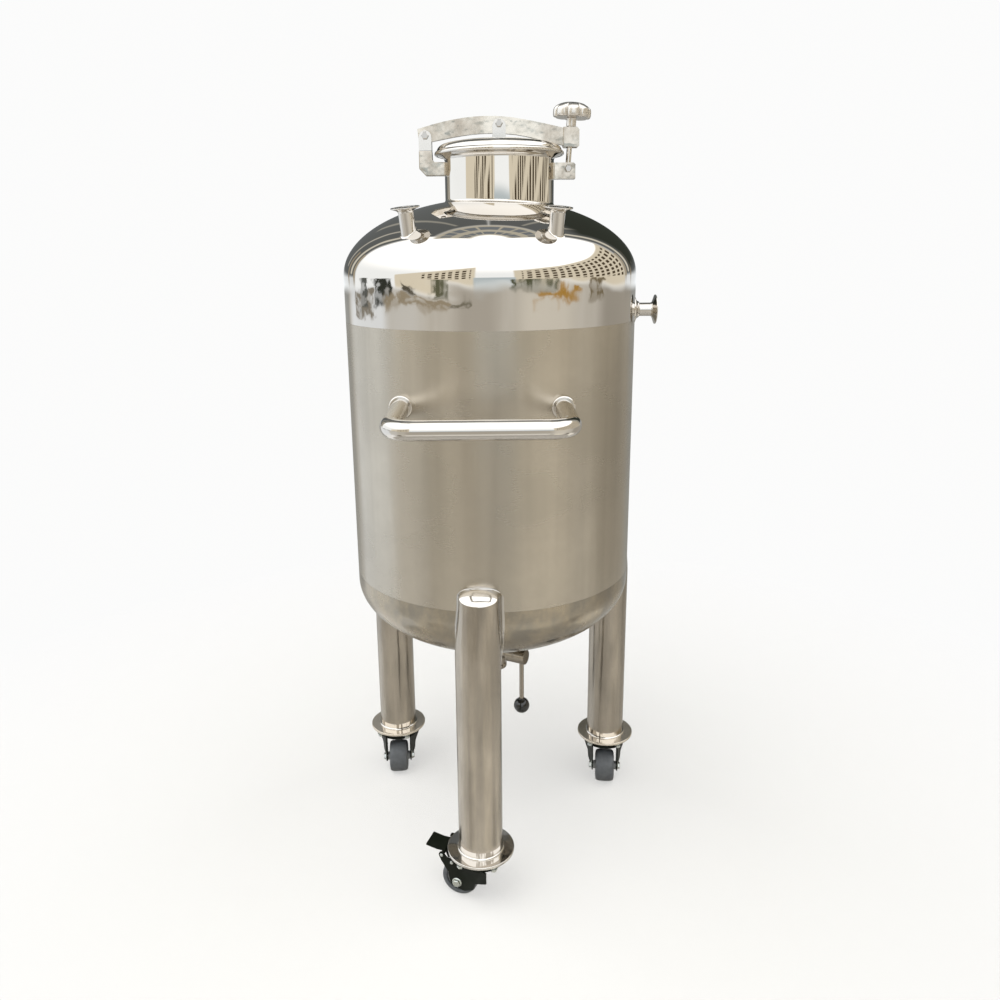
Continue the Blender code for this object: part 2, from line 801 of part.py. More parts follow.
def caster_shapes():
    """Plate, fork, axle and wheel about the swivel axis, with local X along the trail."""
    under = PLATE_TOP_Z - PLATE_T
    mount = plate(
        "caster_plate",
        rounded_box(0.070, 0.095, 0.010),
        PLATE_T,
        Matrix.Translation((0, 0, PLATE_TOP_Z - PLATE_T / 2)),
    )
    race = turned(
        "race",
        [
            (0.0, under + 0.001),
            (0.0240, under + 0.001),
            (0.0240, CROWN_TOP_Z + 0.0012),
            (0.0225, CROWN_TOP_Z + GAP),
            (0.0060, CROWN_TOP_Z + GAP),
            (0.0060, CROWN_LOW_Z - 0.0008),
            (0.0, CROWN_LOW_Z - 0.0008),
        ],
        24,
    )
    join(mount, race)

    fork = turned(
        "caster_fork",
        [
            (0.0063, CROWN_TOP_Z),
            (0.0335, CROWN_TOP_Z),
            (0.0395, CROWN_TOP_Z - 0.0018),
            (CROWN_R, CROWN_TOP_Z - 0.0048),
            (CROWN_R, CROWN_LOW_Z),
            (0.0063, CROWN_LOW_Z),
        ],
        24,
    )
    cheek = [(0.0220, 0.0780), (0.0220, 0.0185), (0.0250, 0.0185), (0.0457, 0.0265)]
    cheek += [(0.0478, 0.0325), (0.0505, 0.0470), (0.0480, 0.0640), (0.0400, 0.0780)]
    # The front edge of each cheek is flared outwards, up to the rim of the crown.
    flare = [(-0.0010, 0.0780), (-0.0010, 0.0190), (0.0020, 0.0185), (0.0210, 0.0305)]
    flare += [(0.0255, 0.0450), (FLARE_LONG, 0.0570), (FLARE_LONG, 0.0780)]
    middle = (CHEEK_IN + CHEEK_OUT) / 2
    thick = CHEEK_OUT - CHEEK_IN
    for side in (-1, 1):
        join(fork, plate("cheek", cheek, thick, upright(side * middle)))
        along = Vector((-math.cos(FLARE_TURN), side * math.sin(FLARE_TURN), 0.0))
        across = along.cross(Vector((0.0, 0.0, 1.0)))
        stand = Matrix((along, (0.0, 0.0, 1.0), across)).transposed().to_4x4()
        stand.translation = (0.0225, side * middle, 0.0)
        join(fork, plate("flare", flare, thick, stand))
    cut(fork, cylinder("axle_hole", AXLE_R + GAP, (TRAIL, -0.05, WHEEL_R), (TRAIL, 0.05, WHEEL_R), 16))

    axle = cylinder("caster_axle", AXLE_R, (TRAIL, -0.0285, WHEEL_R), (TRAIL, 0.0285, WHEEL_R), 16)
    for side in (-1, 1):
        near = side * (CHEEK_OUT + GAP)
        far = side * (CHEEK_OUT + 0.0050)
        join(axle, cylinder("head", 0.0072, (TRAIL, near, WHEEL_R), (TRAIL, far, WHEEL_R), 6))

    tread = [
        (AXLE_R + 0.0005, 0.0236),
        (0.0085, 0.0236),
        (0.0090, 0.0110),
        (0.0205, 0.0100),
        (0.0215, 0.0180),
        (0.0290, 0.0190),
        (0.0317, 0.0165),
        (WHEEL_R, 0.0120),
    ]
    shape = tread + [(r, -z) for r, z in reversed(tread)]
    # A flat of the tread lies on the floor, so the radius is that of the flats.
    sides = 28
    shape = [(r / math.cos(math.pi / sides), z) for r, z in shape]
    turn = Matrix.Translation((TRAIL, 0, WHEEL_R)) @ Matrix.Rotation(math.radians(90), 4, "X")
    turn = turn @ Matrix.Rotation(math.pi / sides, 4, "Z")
    wheel = turned("wheel", shape, sides, turn)
    return mount, fork, axle, wheel


def pedal_shape():
    """The pad, its barrel on the cross pin and the short shoe above the tread."""
    t, z = BRAKE_T, BRAKE_Z
    under = [(t + 0.0010, z + 0.0008), (0.0760, 0.0812), (0.0960, 0.0850)]
    top = [(px, pz + 0.0026) for px, pz in under[1:]]
    outline = under + top[::-1] + [(t, z + 0.0032)]
    pedal = plate("brake_pedal", outline, 0.034, upright())
    shoe = [(t - 0.0025, z), (0.0545, 0.0665), (0.0570, 0.0655), (t + 0.0010, z)]
    join(pedal, plate("shoe", shoe, 0.024, upright()))
    join(pedal, cylinder("barrel", 0.0034, (t, -0.0236, z), (t, 0.0236, z), 16))
    cut(pedal, cylinder("pin_hole", 0.0018, (t, -0.03, z), (t, 0.03, z), 12))
    return pedal


def casters(tank):
    mount, fork, axle, wheel = caster_shapes()
    shapes = {"caster_plate": mount, "caster_fork": fork, "caster_axle": axle, "wheel": wheel}
    looks = {"caster_plate": ZINC, "caster_fork": BLACK, "caster_axle": ZINC, "wheel": GREY}
    base = {key: finish(shape, looks[key], None) for key, shape in shapes.items()}
    for key, azimuth in CASTERS.items():
        x, y = leg_place(key)
        turn = math.radians(azimuth)
        stand = empty("caster_" + key, (x, y, 0.0), PLATE_TURN, tank)
        copy_of(base["caster_plate"], "caster_plate_" + key, stand)
        swivel = empty("swivel_" + key, (x, y, 0.0), turn, tank)
        rim = empty("axle_line_" + key, (TRAIL, 0.0, WHEEL_R), 0.0, swivel)
        other = copy_of(base["wheel"], "wheel_" + key, rim)
        other.location = (-TRAIL, 0.0, -WHEEL_R)
        copy_of(base["caster_axle"], "caster_axle_" + key, swivel)
        piece = copy_of(base["caster_fork"], "caster_fork_" + key, swivel)
        if key == "front":
            piece.data = braked_fork(base["caster_fork"].data)
            pivot = empty("brake_line", (BRAKE_T, 0.0, BRAKE_Z), 0.0, swivel)
            pedal = finish(pedal_shape(), BLACK, pivot)
            pedal.location = (-BRAKE_T, 0.0, -BRAKE_Z)
    for piece in base.values():
        bpy.data.objects.remove(piece, do_unlink=True)


def braked_fork(mesh):
    """The front fork carries the pedal's cross pin between two arms of its cheeks."""
    piece = mesh_object("braked", mesh.copy(), CUTTERS)
    t, z = BRAKE_T, BRAKE_Z
    arm = [(0.0420, 0.0745), (0.0440, 0.0560), (0.0515, 0.0500), (0.0640, 0.0700)]
    arm += circle(t, z, 0.0055, 8, -20.0, 130.0) + [(0.0530, 0.0770)]
    middle = (CHEEK_IN + CHEEK_OUT) / 2
    for side in (-1, 1):
        join(piece, plate("arm", arm, CHEEK_OUT - CHEEK_IN, upright(side * middle)))
    join(piece, cylinder("pin", 0.0015, (t, -0.0265, z), (t, 0.0265, z), 12))
    for side in (-1, 1):
        for x, height in ((t, z), (RIVET_T, RIVET_Z)):
            near = side * (CHEEK_OUT - 0.0005)
            far = side * (CHEEK_OUT + 0.0018)
            join(piece, cylinder("head", 0.0030, (x, near, height), (x, far, height), 12))
    data = piece.data
    data.materials.clear()
    data.materials.append(BLACK)
    bpy.data.objects.remove(piece, do_unlink=True)
    return data


def outlet(tank, lever):
    stub = turned(
        "outlet_stub",
        [
            (OUTLET_R, 0.3860),
            (OUTLET_R, OUTLET_LOW_Z + 0.0045),
            (BODY_R, OUTLET_LOW_Z + 0.0028),
            (BODY_R, OUTLET_LOW_Z + GAP),
            (OUTLET_IN_R, OUTLET_LOW_Z + GAP),
            (OUTLET_IN_R, 0.3860),
        ],
        32,
    )
    finish(stub, SATIN, tank)
    body = turned(
        "valve_body",
        [
            (BODY_R, OUTLET_LOW_Z),
            (BODY_R, OUTLET_LOW_Z - 0.0028),
            (0.0235, OUTLET_LOW_Z - 0.0045),
            (0.0235, BODY_LOW_Z + 0.0090),
            (BODY_R, BODY_LOW_Z + 0.0060),
            (BODY_R, BODY_LOW_Z + 0.0010),
            (BODY_R - 0.001, BODY_LOW_Z),
            (OUTLET_IN_R, BODY_LOW_Z),
            (OUTLET_IN_R, OUTLET_LOW_Z),
        ],
        32,
    )
    way = Vector((math.cos(STEM_AZIMUTH), math.sin(STEM_AZIMUTH), 0.0))
    axis = Vector((0.0, 0.0, STEM_Z))
    join(body, cylinder("boss", 0.0100, axis + way * 0.0190, axis + way * 0.0285, 24))
    cut(body, cylinder("stem_hole", 0.0043, axis, axis + way * 0.0300, 16))
    finish(body, SATIN, tank)
    disc = turned(
        "valve_disc",
        [(0.0, 0.0014), (0.0170, 0.0014), (0.0170, -0.0014), (0.0, -0.0014)],
        32,
        Matrix.Rotation(math.radians(90), 4, "X"),
    )
    hub = turned(
        "valve_hub",
        [
            (0.0, 0.0690),
            (STEM_R - 0.0008, 0.0690),
            (STEM_R, 0.0682),
            (STEM_R, 0.0475),
            (STEM_R - 0.0010, 0.0468),
            (STEM_R - 0.0010, 0.0460),
            (STEM_R, 0.0453),
            (STEM_R, 0.0315),
            (STEM_R - 0.0008, 0.0307),
            (0.0, 0.0307),
        ],
        28,
        Matrix.Rotation(math.radians(90), 4, "Y"),
    )
    # The lever's empty has local X along the stem and its origin on the stem's line.
    drop = BALL_Z - STEM_Z
    cut(hub, cylinder("socket", LEVER_R + GAP, (LEVER_AT, 0, -0.03), (LEVER_AT, 0, -0.005), 20))
    finish(hub, SATIN, lever)
    rod_low = drop + BALL_R - 0.008
    rod = cylinder("lever_rod", LEVER_R, (LEVER_AT, 0, rod_low), (LEVER_AT, 0, -0.0055), 20)
    finish(rod, SATIN, lever)
    mesh = bpy.data.meshes.new("lever_ball")
    tool = bmesh.new()
    bmesh.ops.create_uvsphere(tool, u_segments=20, v_segments=12, radius=BALL_R)
    tool.to_mesh(mesh)
    tool.free()
    ball = mesh_object("lever_ball", mesh, CUTTERS, Matrix.Translation((LEVER_AT, 0, drop)))
    cut(ball, cylinder("ball_hole", LEVER_R + GAP, (LEVER_AT, 0, rod_low - GAP), (LEVER_AT, 0, 0), 20))
    finish(ball, GLOSS, lever)
    join(disc, cylinder("shaft", 0.0040, (0.0, 0, 0), (0.0304, 0, 0), 16))
    finish(disc, SATIN, lever)


def main():
    tank = empty("tank_axis", (AXIS_X, AXIS_Y, 0.0))
    bolt = empty("bolt_pivot", (BOLT_X, 0.0, BOLT_Z), 0.0, tank)
    bolt.rotation_euler = (0.0, BOLT_LEAN, 0.0)
    spin = empty("knob_line", (0.0, 0.0, 0.0), 0.0, bolt)
    lever = empty("stem_line", (0.0, 0.0, STEM_Z), STEM_AZIMUTH, tank)
    vessel(tank)
    ferrules(tank)
    manway(tank)
    clamp(tank, bolt, spin)
    handle(tank)
    legs(tank)
    casters(tank)
    outlet(tank, lever)


clear_scene()
PARTS = new_collection("storage_tank", False)
CUTTERS = new_collection("cutters", True)
MIRROR = material("mirror_polished_steel", (0.80, 0.79, 0.77), 1.0, 0.06)
SATIN = material("satin_steel", (0.62, 0.60, 0.57), 1.0, 0.28)
BRUSHED = material("brushed_steel", (0.50, 0.47, 0.43), 1.0, 0.38)
ZINC = material("zinc_plate", (0.70, 0.72, 0.74), 1.0, 0.30)
BLACK = material("black_paint", (0.012, 0.014, 0.012), 0.0, 0.40)
GREY = material("grey_tyre", (0.13, 0.14, 0.15), 0.0, 0.60)
GLOSS = material("black_ball", (0.01, 0.012, 0.01), 0.0, 0.12)
RUBBER = material("white_seal", (0.62, 0.61, 0.58), 0.0, 0.55)
main()
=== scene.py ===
"""Mobile stainless steel storage tank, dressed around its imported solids: a polished
dished head with a clamped manway, a brushed shell, a push handle, a bottom valve
and three tube legs on swivel casters."""

import math

import bmesh
import bpy
from bpy.props import FloatProperty, FloatVectorProperty, IntProperty, PointerProperty
from mathutils import Matrix, Vector


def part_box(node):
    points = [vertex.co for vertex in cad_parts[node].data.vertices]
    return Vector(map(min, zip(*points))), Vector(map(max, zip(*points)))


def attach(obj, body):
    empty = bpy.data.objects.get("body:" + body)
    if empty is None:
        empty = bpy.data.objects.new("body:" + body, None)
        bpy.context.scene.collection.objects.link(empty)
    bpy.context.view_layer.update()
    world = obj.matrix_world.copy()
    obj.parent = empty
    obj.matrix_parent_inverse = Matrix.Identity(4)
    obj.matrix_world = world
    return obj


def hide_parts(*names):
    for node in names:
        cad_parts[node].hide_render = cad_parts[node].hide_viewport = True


bl_info = {
    "name": "Mobile Steel Storage Tank",
    "version": (1, 0, 0),
    "blender": (4, 5, 0),
    "location": "View3D > Sidebar > Tank",
    "description": "A dished steel tank with a clamped manway, on three caster legs",
    "category": "Add Mesh",
}

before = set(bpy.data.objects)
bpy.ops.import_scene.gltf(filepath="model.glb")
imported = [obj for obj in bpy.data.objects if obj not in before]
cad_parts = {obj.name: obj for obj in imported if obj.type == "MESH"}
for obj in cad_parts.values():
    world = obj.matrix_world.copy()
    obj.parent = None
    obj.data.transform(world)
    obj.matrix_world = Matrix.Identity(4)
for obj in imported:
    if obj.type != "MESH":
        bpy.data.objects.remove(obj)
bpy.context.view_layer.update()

TINY = 0.00001
# A corner of an outline that turns by fewer degrees than this isn't rounded.
BLUNT = 18.0
SHELL_LOW, SHELL_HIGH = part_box("shell")
# The vessel's axis: every size below is measured from it, at floor level.
AXIS = Vector(((SHELL_LOW.x + SHELL_HIGH.x) / 2, (SHELL_LOW.y + SHELL_HIGH.y) / 2, 0.0))
CORNERS = ("front", "left", "right")
# Turns a shape that was made about Z so that its axis lies along Y or X.
ALONG_Y = Matrix.Rotation(math.radians(90), 4, "X")
ALONG_X = Matrix.Rotation(math.radians(90), 4, "Y")


def number(name, default, description, unit="NONE"):
    return FloatProperty(
        name=name, default=default, description=description, unit=unit, precision=5
    )


def size(name, default, description):
    return number(name, default, description, "LENGTH")


def angle(name, degrees, description):
    return FloatProperty(
        name=name, default=math.radians(degrees), description=description, subtype="ANGLE"
    )


def linear(code):
    """Turns a hex colour, as seen on screen, to the linear values a shader takes."""
    values = [int(code[i : i + 2], 16) / 255 for i in (1, 3, 5)]
    return tuple(v / 12.92 if v <= 0.04045 else ((v + 0.055) / 1.055) ** 2.4 for v in values)


def colour(name, code, description):
    return FloatVectorProperty(
        name=name, default=linear(code), description=description, subtype="COLOR", min=0.0, max=1.0
    )


class VesselSizes(bpy.types.PropertyGroup):
    radius: size("Radius", (SHELL_HIGH.x - SHELL_LOW.x) / 2, "Outer radius of the rolled shell")
    wall: size("Wall", 0.003, "Thickness of the shell and of both heads")
    dish: size("Dish", 0.125, "Height of each dished head above its straight flange")
    seam_low: size("Lower seam", 0.526, "Height of the weld between shell and lower head")
    seam_top: size("Upper seam", 0.9735, "Height of the weld between shell and top head")
    tangent_low: size("Lower tangent", 0.507, "Height at which the lower dish begins")
    tangent_top: size("Upper tangent", 1.048, "Height at which the top dish begins")
    sides: IntProperty(name="Sides", default=192, min=24, description="Facets round the vessel")


class ManwaySizes(bpy.types.PropertyGroup):
    offset: size("Offset", 0.0175, "How far the manway stands off the vessel's axis")
    neck: size("Neck radius", 0.0915, "Outer radius of the neck")
    neck_wall: size("Neck wall", 0.003, "Thickness of the neck's wall")
    foot: size("Foot", 1.147, "Height of the neck's hidden lower end")
    lip: size("Lip radius", 0.1035, "Outer radius of the flat lip under the lid")
    lip_z: size("Lip height", 1.2412, "Height of the lip's underside at its rim")
    lid: size("Lid radius", 0.108, "Outer radius of the lid's rolled rim")
    lid_z: size("Lid height", 1.2660, "Height of the lid's crown")


class ClampSizes(bpy.types.PropertyGroup):
    bolt_x: size("Bolt pivot", 0.1325, "Distance of the swing bolt's pivot from the axis")
    bolt_z: size("Bolt pivot height", 1.2195, "Height of the swing bolt's pivot")
    lean: angle("Bolt lean", 4.0, "How far the swing bolt leans outwards")
    rod: size("Rod radius", 0.0044, "Radius of the swing bolt's rod")
    knob: size("Knob radius", 0.031, "Outer radius of the hand knob")
    lobes: IntProperty(name="Lobes", default=8, min=3, description="Finger hollows round the knob")
    easing: size("Edge easing", 0.0011, "How much the edges of the cut plates are rounded")


class FittingSizes(bpy.types.PropertyGroup):
    pipe: size("Pipe radius", 0.0115, "Outer radius of the ferrules' pipes")
    bore: size("Bore radius", 0.0100, "Inner radius of the ferrules' pipes")
    flange: size("Flange radius", 0.0222, "Radius of the two top ferrules' flanges")
    tilt: angle("Tilt", 9.0, "How far the two top ferrules lean outwards")
    length: size("Length", 0.0365, "Length of the two top ferrules")
    nozzle_z: size("Nozzle height", 0.986, "Height of the side nozzle")
    nozzle_face: size("Nozzle face", 0.289, "Distance of the side nozzle's face from the axis")
    nozzle_flange: size("Nozzle flange", 0.02525, "Radius of the side nozzle's flange")


class HandleSizes(bpy.types.PropertyGroup):
    tube: size("Tube radius", 0.0145, "Radius of the handle's tube")
    height: size("Height", 0.8555, "Height of the handle above the floor")
    left: size("Left end", -0.140, "Sideways place of the left arm")
    right: size("Right end", 0.1105, "Sideways place of the right arm")
    bar: size("Bar", -0.392, "How far in front of the axis the bar runs")
    bend: size("Bend", 0.033, "Radius of the two bends")


class LegSizes(bpy.types.PropertyGroup):
    circle: size("Circle", 0.258, "Radius of the circle on which the legs stand")
    radius: size("Radius", 0.0375, "Radius of the legs' tubes")
    wall: size("Wall", 0.002, "Thickness of the legs' walls")
    pinch_low: size("Pinch", 0.455, "Height above which the tubes narrow")
    top_wide: size("Top half width", 0.0310, "Half width of the tubes at their caps")
    top_deep: size("Top half depth", 0.0187, "Half depth of the tubes at their caps")
    top_shift: size("Top shift", 0.0128, "How far the caps stand forward of the tubes")
    top_side: size("Top side shift", 0.0035, "How far the caps stand sideways of the tubes")
    pad_low: size("Pad foot", 0.440, "Height at which the saddle pads run out on the tubes")
    pad_wide: size("Pad half width", 0.0386, "Half width of the saddle pads on the wall")
    arch: size("Arch", 0.0225, "Rise of the weld over the caps")
    slope: number("Slope", 0.39, "Fall of the caps outward, over their depth")
    top: size("Top", 0.5520, "Height at which the tubes end under their caps")
    foot: size("Foot radius", 0.0575, "Radius of the polished foot flanges")
    foot_top: size("Foot top", 0.0962, "Height of the foot flanges' upper face")
    foot_low: size("Foot underside", 0.0910, "Height of the foot flanges' lower face")
    front: angle("Front leg", -95.72, "Azimuth of the front leg")
    left: angle("Left leg", 144.3, "Azimuth of the left leg")
    right: angle("Right leg", 24.3, "Azimuth of the right leg")


class CasterSizes(bpy.types.PropertyGroup):
    wheel: size("Wheel radius", 0.0325, "Radius of the grey tread")
    trail: size("Trail", 0.035, "How far the axle lies behind the swivel")
    cheek: size("Cheek", 0.0268, "Distance of the fork's outer cheek face from its middle")
    front: angle("Front caster", 160.0, "Direction in which the front wheel trails")
    left: angle("Left caster", -86.0, "Direction in which the left wheel trails")
    right: angle("Right caster", -96.0, "Direction in which the right wheel trails")


class OutletSizes(bpy.types.PropertyGroup):
    stub: size("Stub radius", 0.019, "Outer radius of the outlet stub")
    bore: size("Bore radius", 0.0175, "Inner radius of the outlet and of the valve")
    body: size("Body radius", 0.0250, "Radius of the valve's clamped flanges")
    body_top: size("Body top", 0.3530, "Height at which stub and valve meet")
    body_low: size("Body end", 0.3050, "Height of the valve's lower face")
    stem_z: size("Stem height", 0.336, "Height of the valve's stem")
    stem: angle("Stem azimuth", -27.0, "Direction in which the stem points")
    lever_at: size("Lever place", 0.0595, "Distance of the lever from the valve's axis")
    ball_z: size("Ball height", 0.2325, "Height of the ball's middle")
    ball: size("Ball radius", 0.0152, "Radius of the ball grip")


class FinishColours(bpy.types.PropertyGroup):
    mirror: colour("Mirror steel", "#DAD6D0", "Polished stainless steel, as seen in white light")
    shell: colour("Brushed shell", "#BDB6A9", "Brushed stainless steel of the shell")
    leg: colour("Leg steel", "#AAA296", "Brushed stainless steel of the legs")
    plate: colour("Plate steel", "#DBD4C8", "Hand-polished plates of the clamp")
    zinc: colour("Zinc", "#C0C6C6", "Bright zinc plate of bolts and mounting plates")
    paint: colour("Fork paint", "#12160F", "Black-green paint of the forks")
    tyre: colour("Tread", "#4E5154", "Grey rubber tread")
    hub: colour("Hub", "#8C8E8D", "Lighter plastic of the wheels' hubs")
    ball: colour("Ball", "#0B0D0B", "Black plastic of the lever's ball")
    seal: colour("Seal", "#C9C6BE", "Pale silicone seal")


class StageSettings(bpy.types.PropertyGroup):
    floor: colour("Floor", "#DEDCD7", "Plain pale floor")
    floor_size: size("Floor radius", 1.6, "Radius at which the floor has faded out")
    film: number("Floor strength", 0.3, "How much of the floor shows")
    key: number("Key light", 50.0, "Strength of the soft light overhead")
    lens: size("Lens", 0.030747, "Focal length of the camera, on a 36 mm sensor")
    pitch: angle("Pitch", 14.794, "How far the camera looks down")
    roll: angle("Roll", -0.519, "How far the camera leans")
    yaw: angle("Yaw", 0.278, "How far the camera is turned to the right")
    distance: size("Distance", 1.5182, "How far the camera stands in front of the axis")
    height: size("Camera height", 1.0924, "Height of the camera above the floor")
    shift_x: number("Shift X", 0.0040, "Sideways shift of the lens")
    shift_y: number("Shift Y", -0.0266, "Upward shift of the lens")


GROUPS = {
    "vessel": VesselSizes,
    "manway": ManwaySizes,
    "clamp": ClampSizes,
    "fitting": FittingSizes,
    "handle": HandleSizes,
    "leg": LegSizes,
    "caster": CasterSizes,
    "outlet": OutletSizes,
    "finish": FinishColours,
    "stage": StageSettings,
}


def sizes(name):
    return getattr(bpy.context.scene, "tank_" + name)


# Meshes


def show(name, mesh):
    obj = bpy.data.objects.new(name, mesh)
    bpy.context.scene.collection.objects.link(obj)
    return obj


def settle(obj):
    """Gives the object the mesh that its modifiers make."""
    bpy.context.view_layer.update()
    graph = bpy.context.evaluated_depsgraph_get()
    mesh = bpy.data.meshes.new_from_object(obj.evaluated_get(graph))
    obj.modifiers.clear()
    obj.data = mesh
    return obj


def drop(obj):
    bpy.data.objects.remove(obj, do_unlink=True)


def bent(start, corner, end, steps):
    """Points on a curve that leaves start towards the corner and comes in at end."""
    shares = [k / steps for k in range(steps + 1)]
    return [start * (1 - t) ** 2 + corner * 2 * t * (1 - t) + end * t * t for t in shares]


def clamped(value):
    return max(0.0, min(1.0, value))


def smooth_share(value):
    """A share of 0 to 1, eased in and out."""
    share = clamped(value)
    return share * share * (3.0 - 2.0 * share)


def rounded(points, radius, steps=3, closed=True):
    """Replaces the sharp corners of an outline or profile by short arcs."""
    line = []
    count = len(points)
    for i, point in enumerate(points):
        here = Vector(point)
        if not closed and i in (0, count - 1):
            line.append(tuple(here))
            continue
        before = Vector(points[i - 1]) - here
        after = Vector(points[(i + 1) % count]) - here
        turn = 180.0 - math.degrees(before.angle(after))
        if turn < BLUNT or abs(here.x) < TINY:
            line.append(tuple(here))
            continue
        reach = min(radius, before.length * 0.45, after.length * 0.45)
        start = here + before.normalized() * reach
        end = here + after.normalized() * reach
        line += [tuple(spot) for spot in bent(start, here, end, steps)]
    return line


def smooth_line(points, steps):
    """A smooth line through a few points."""
    line = []
    for i in range(len(points) - 1):
        p0, p1 = points[max(i - 1, 0)], points[i]
        p2, p3 = points[i + 1], points[min(i + 2, len(points) - 1)]
        for k in range(steps):
            t = k / steps
            line.append(
                tuple(
                    0.5
                    * (
                        2 * b
                        + (c - a) * t
                        + (2 * a - 5 * b + 4 * c - d) * t * t
                        + (3 * b - a - 3 * c + d) * t**3
                    )
                    for a, b, c, d in zip(p0, p1, p2, p3)
                )
            )
    return line + [points[-1]]


def skin(tool, rings, closed):
    """Lays faces from each ring of points to the next; at a pole they are triangles."""
    for a, b in zip(rings, rings[1:] + (rings[:1] if closed else [])):
        for i in range(len(a)):
            j = (i + 1) % len(a)
            face = list(dict.fromkeys((a[i], a[j], b[j], b[i])))
            if len(face) > 2:
                tool.faces.new(face)


def lathe(name, profile, sides=128, matrix=None, warp=None):
    """Turns a profile of (radius, height) about local Z into one closed skin."""
    tool = bmesh.new()
    rings = []
    for r, z in profile:
        if r < TINY:
            rings.append([tool.verts.new((0.0, 0.0, z))] * sides)
            continue
        ring = []
        for i in range(sides):
            turn = 2 * math.pi * i / sides
            out = warp(r, z, turn) if warp else r
            ring.append(tool.verts.new((out * math.cos(turn), out * math.sin(turn), z)))
        rings.append(ring)
    through = profile[0][0] >= TINY or profile[-1][0] >= TINY
    skin(tool, rings, through)
    return from_tool(name, tool, matrix)


def from_tool(name, tool, matrix=None):
    bmesh.ops.recalc_face_normals(tool, faces=tool.faces)
    mesh = bpy.data.meshes.new(name)
    tool.to_mesh(mesh)
    tool.free()
    if matrix is not None:
        mesh.transform(matrix)
    return show(name, mesh)


def rod(name, radius, start, end, sides=48):
    """A round bar between two points, with eased ends."""
    start, end = Vector(start), Vector(end)
    long = (end - start).length
    profile = [(0.0, 0.0), (radius, 0.0), (radius, long), (0.0, long)]
    profile = rounded(profile, 0.0004, 3, False)
    turn = (end - start).to_track_quat("Z", "Y").to_matrix().to_4x4()
    return lathe(name, profile, sides, Matrix.Translation(start) @ turn)


def combine(obj, other, operation):
    """Cuts, joins or trims the object with another one, which is used up."""
    change = obj.modifiers.new(operation.title(), "BOOLEAN")
    change.operation = operation
    change.solver = "EXACT"
    change.object = other
    settle(obj)
    drop(other)
    return obj


def join(name, *objs):
    """Puts separate shapes into one mesh."""
    tool = bmesh.new()
    for obj in objs:
        tool.from_mesh(obj.data)
        drop(obj)
    mesh = bpy.data.meshes.new(name)
    tool.to_mesh(mesh)
    tool.free()
    return show(name, mesh)


def eased(obj, width):
    """Rounds the edges where two faces meet at more than 30 degrees."""
    bevel = obj.modifiers.new("Ease", "BEVEL")
    bevel.width = width
    bevel.segments = 2
    bevel.limit_method = "ANGLE"
    bevel.angle_limit = math.radians(30.0)
    return settle(obj)


def from_solid(name, node, easing):
    """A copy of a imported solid, merged, with flat faces made whole and its edges eased."""
    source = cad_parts[node].data
    mesh = bpy.data.meshes.new(name)
    places = [point.co - AXIS for point in source.vertices]
    mesh.from_pydata(places, [], [face.vertices for face in source.polygons])
    tool = bmesh.new()
    tool.from_mesh(mesh)
    bmesh.ops.remove_doubles(tool, verts=tool.verts, dist=TINY)
    bmesh.ops.dissolve_limit(
        tool, angle_limit=math.radians(0.7), verts=tool.verts, edges=tool.edges
    )
    tool.to_mesh(mesh)
    tool.free()
    return eased(show(name, mesh), easing)


def present(obj, finish, body, nodes=(), sharp=32.0, weighted=True, spot=None):
    """Places a finished piece for good, with its finish, body and the solids it shows."""
    mesh = obj.data
    if spot is not None:
        mesh.transform(spot)
    mesh.transform(Matrix.Translation(AXIS))
    mesh.materials.clear()
    mesh.materials.append(finish_of(finish))
    mesh.polygons.foreach_set("material_index", [0] * len(mesh.polygons))
    if sharp:
        mesh.shade_smooth()
        mesh.set_sharp_from_angle(angle=math.radians(sharp))
    if weighted:
        even = obj.modifiers.new("Even", "WEIGHTED_NORMAL")
        even.keep_sharp = True
        settle(obj)
    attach(obj, body)
    if nodes:
        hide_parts(*nodes)
    return obj


def arc(x, y, radius, start, end, steps):
    turns = [math.radians(start + (end - start) * i / steps) for i in range(steps + 1)]
    return [(x + radius * math.cos(t), y + radius * math.sin(t)) for t in turns]


def turned_to(azimuth, x=0.0, y=0.0):
    return Matrix.Translation((x, y, 0.0)) @ Matrix.Rotation(azimuth, 4, "Z")


def leg_place(corner):
    leg = sizes("leg")
    turn = getattr(leg, corner)
    return leg.circle * math.cos(turn), leg.circle * math.sin(turn)


def swivel(corner):
    x, y = leg_place(corner)
    return turned_to(getattr(sizes("caster"), corner), x, y)


# Node trees


def add_node(tree, kind, sockets=None, **fields):
    """Adds a node, sets its fields, and fills or links its sockets."""
    node = tree.nodes.new(kind)
    for key, value in fields.items():
        setattr(node, key, value)
    for key, value in (sockets or {}).items():
        if isinstance(value, bpy.types.NodeSocket):
            tree.links.new(value, node.inputs[key])
        else:
            node.inputs[key].default_value = value
    return node


def maths(tree, operation, *values):
    found = add_node(tree, "ShaderNodeMath", dict(enumerate(values)), operation=operation)
    return found.outputs[0]


def shape_tree(name, inputs):
    """A geometry node tree with named inputs; gives the tree and its input sockets."""
    tree = bpy.data.node_groups.new(name, "GeometryNodeTree")
    kinds = {float: "NodeSocketFloat", int: "NodeSocketInt", str: "NodeSocketMaterial"}
    for way in ("INPUT", "OUTPUT"):
        tree.interface.new_socket("Geometry", in_out=way, socket_type="NodeSocketGeometry")
    for label, value in inputs.items():
        socket = tree.interface.new_socket(label, in_out="INPUT", socket_type=kinds[type(value)])
        if value:
            socket.default_value = value
    return tree, add_node(tree, "NodeGroupInput").outputs


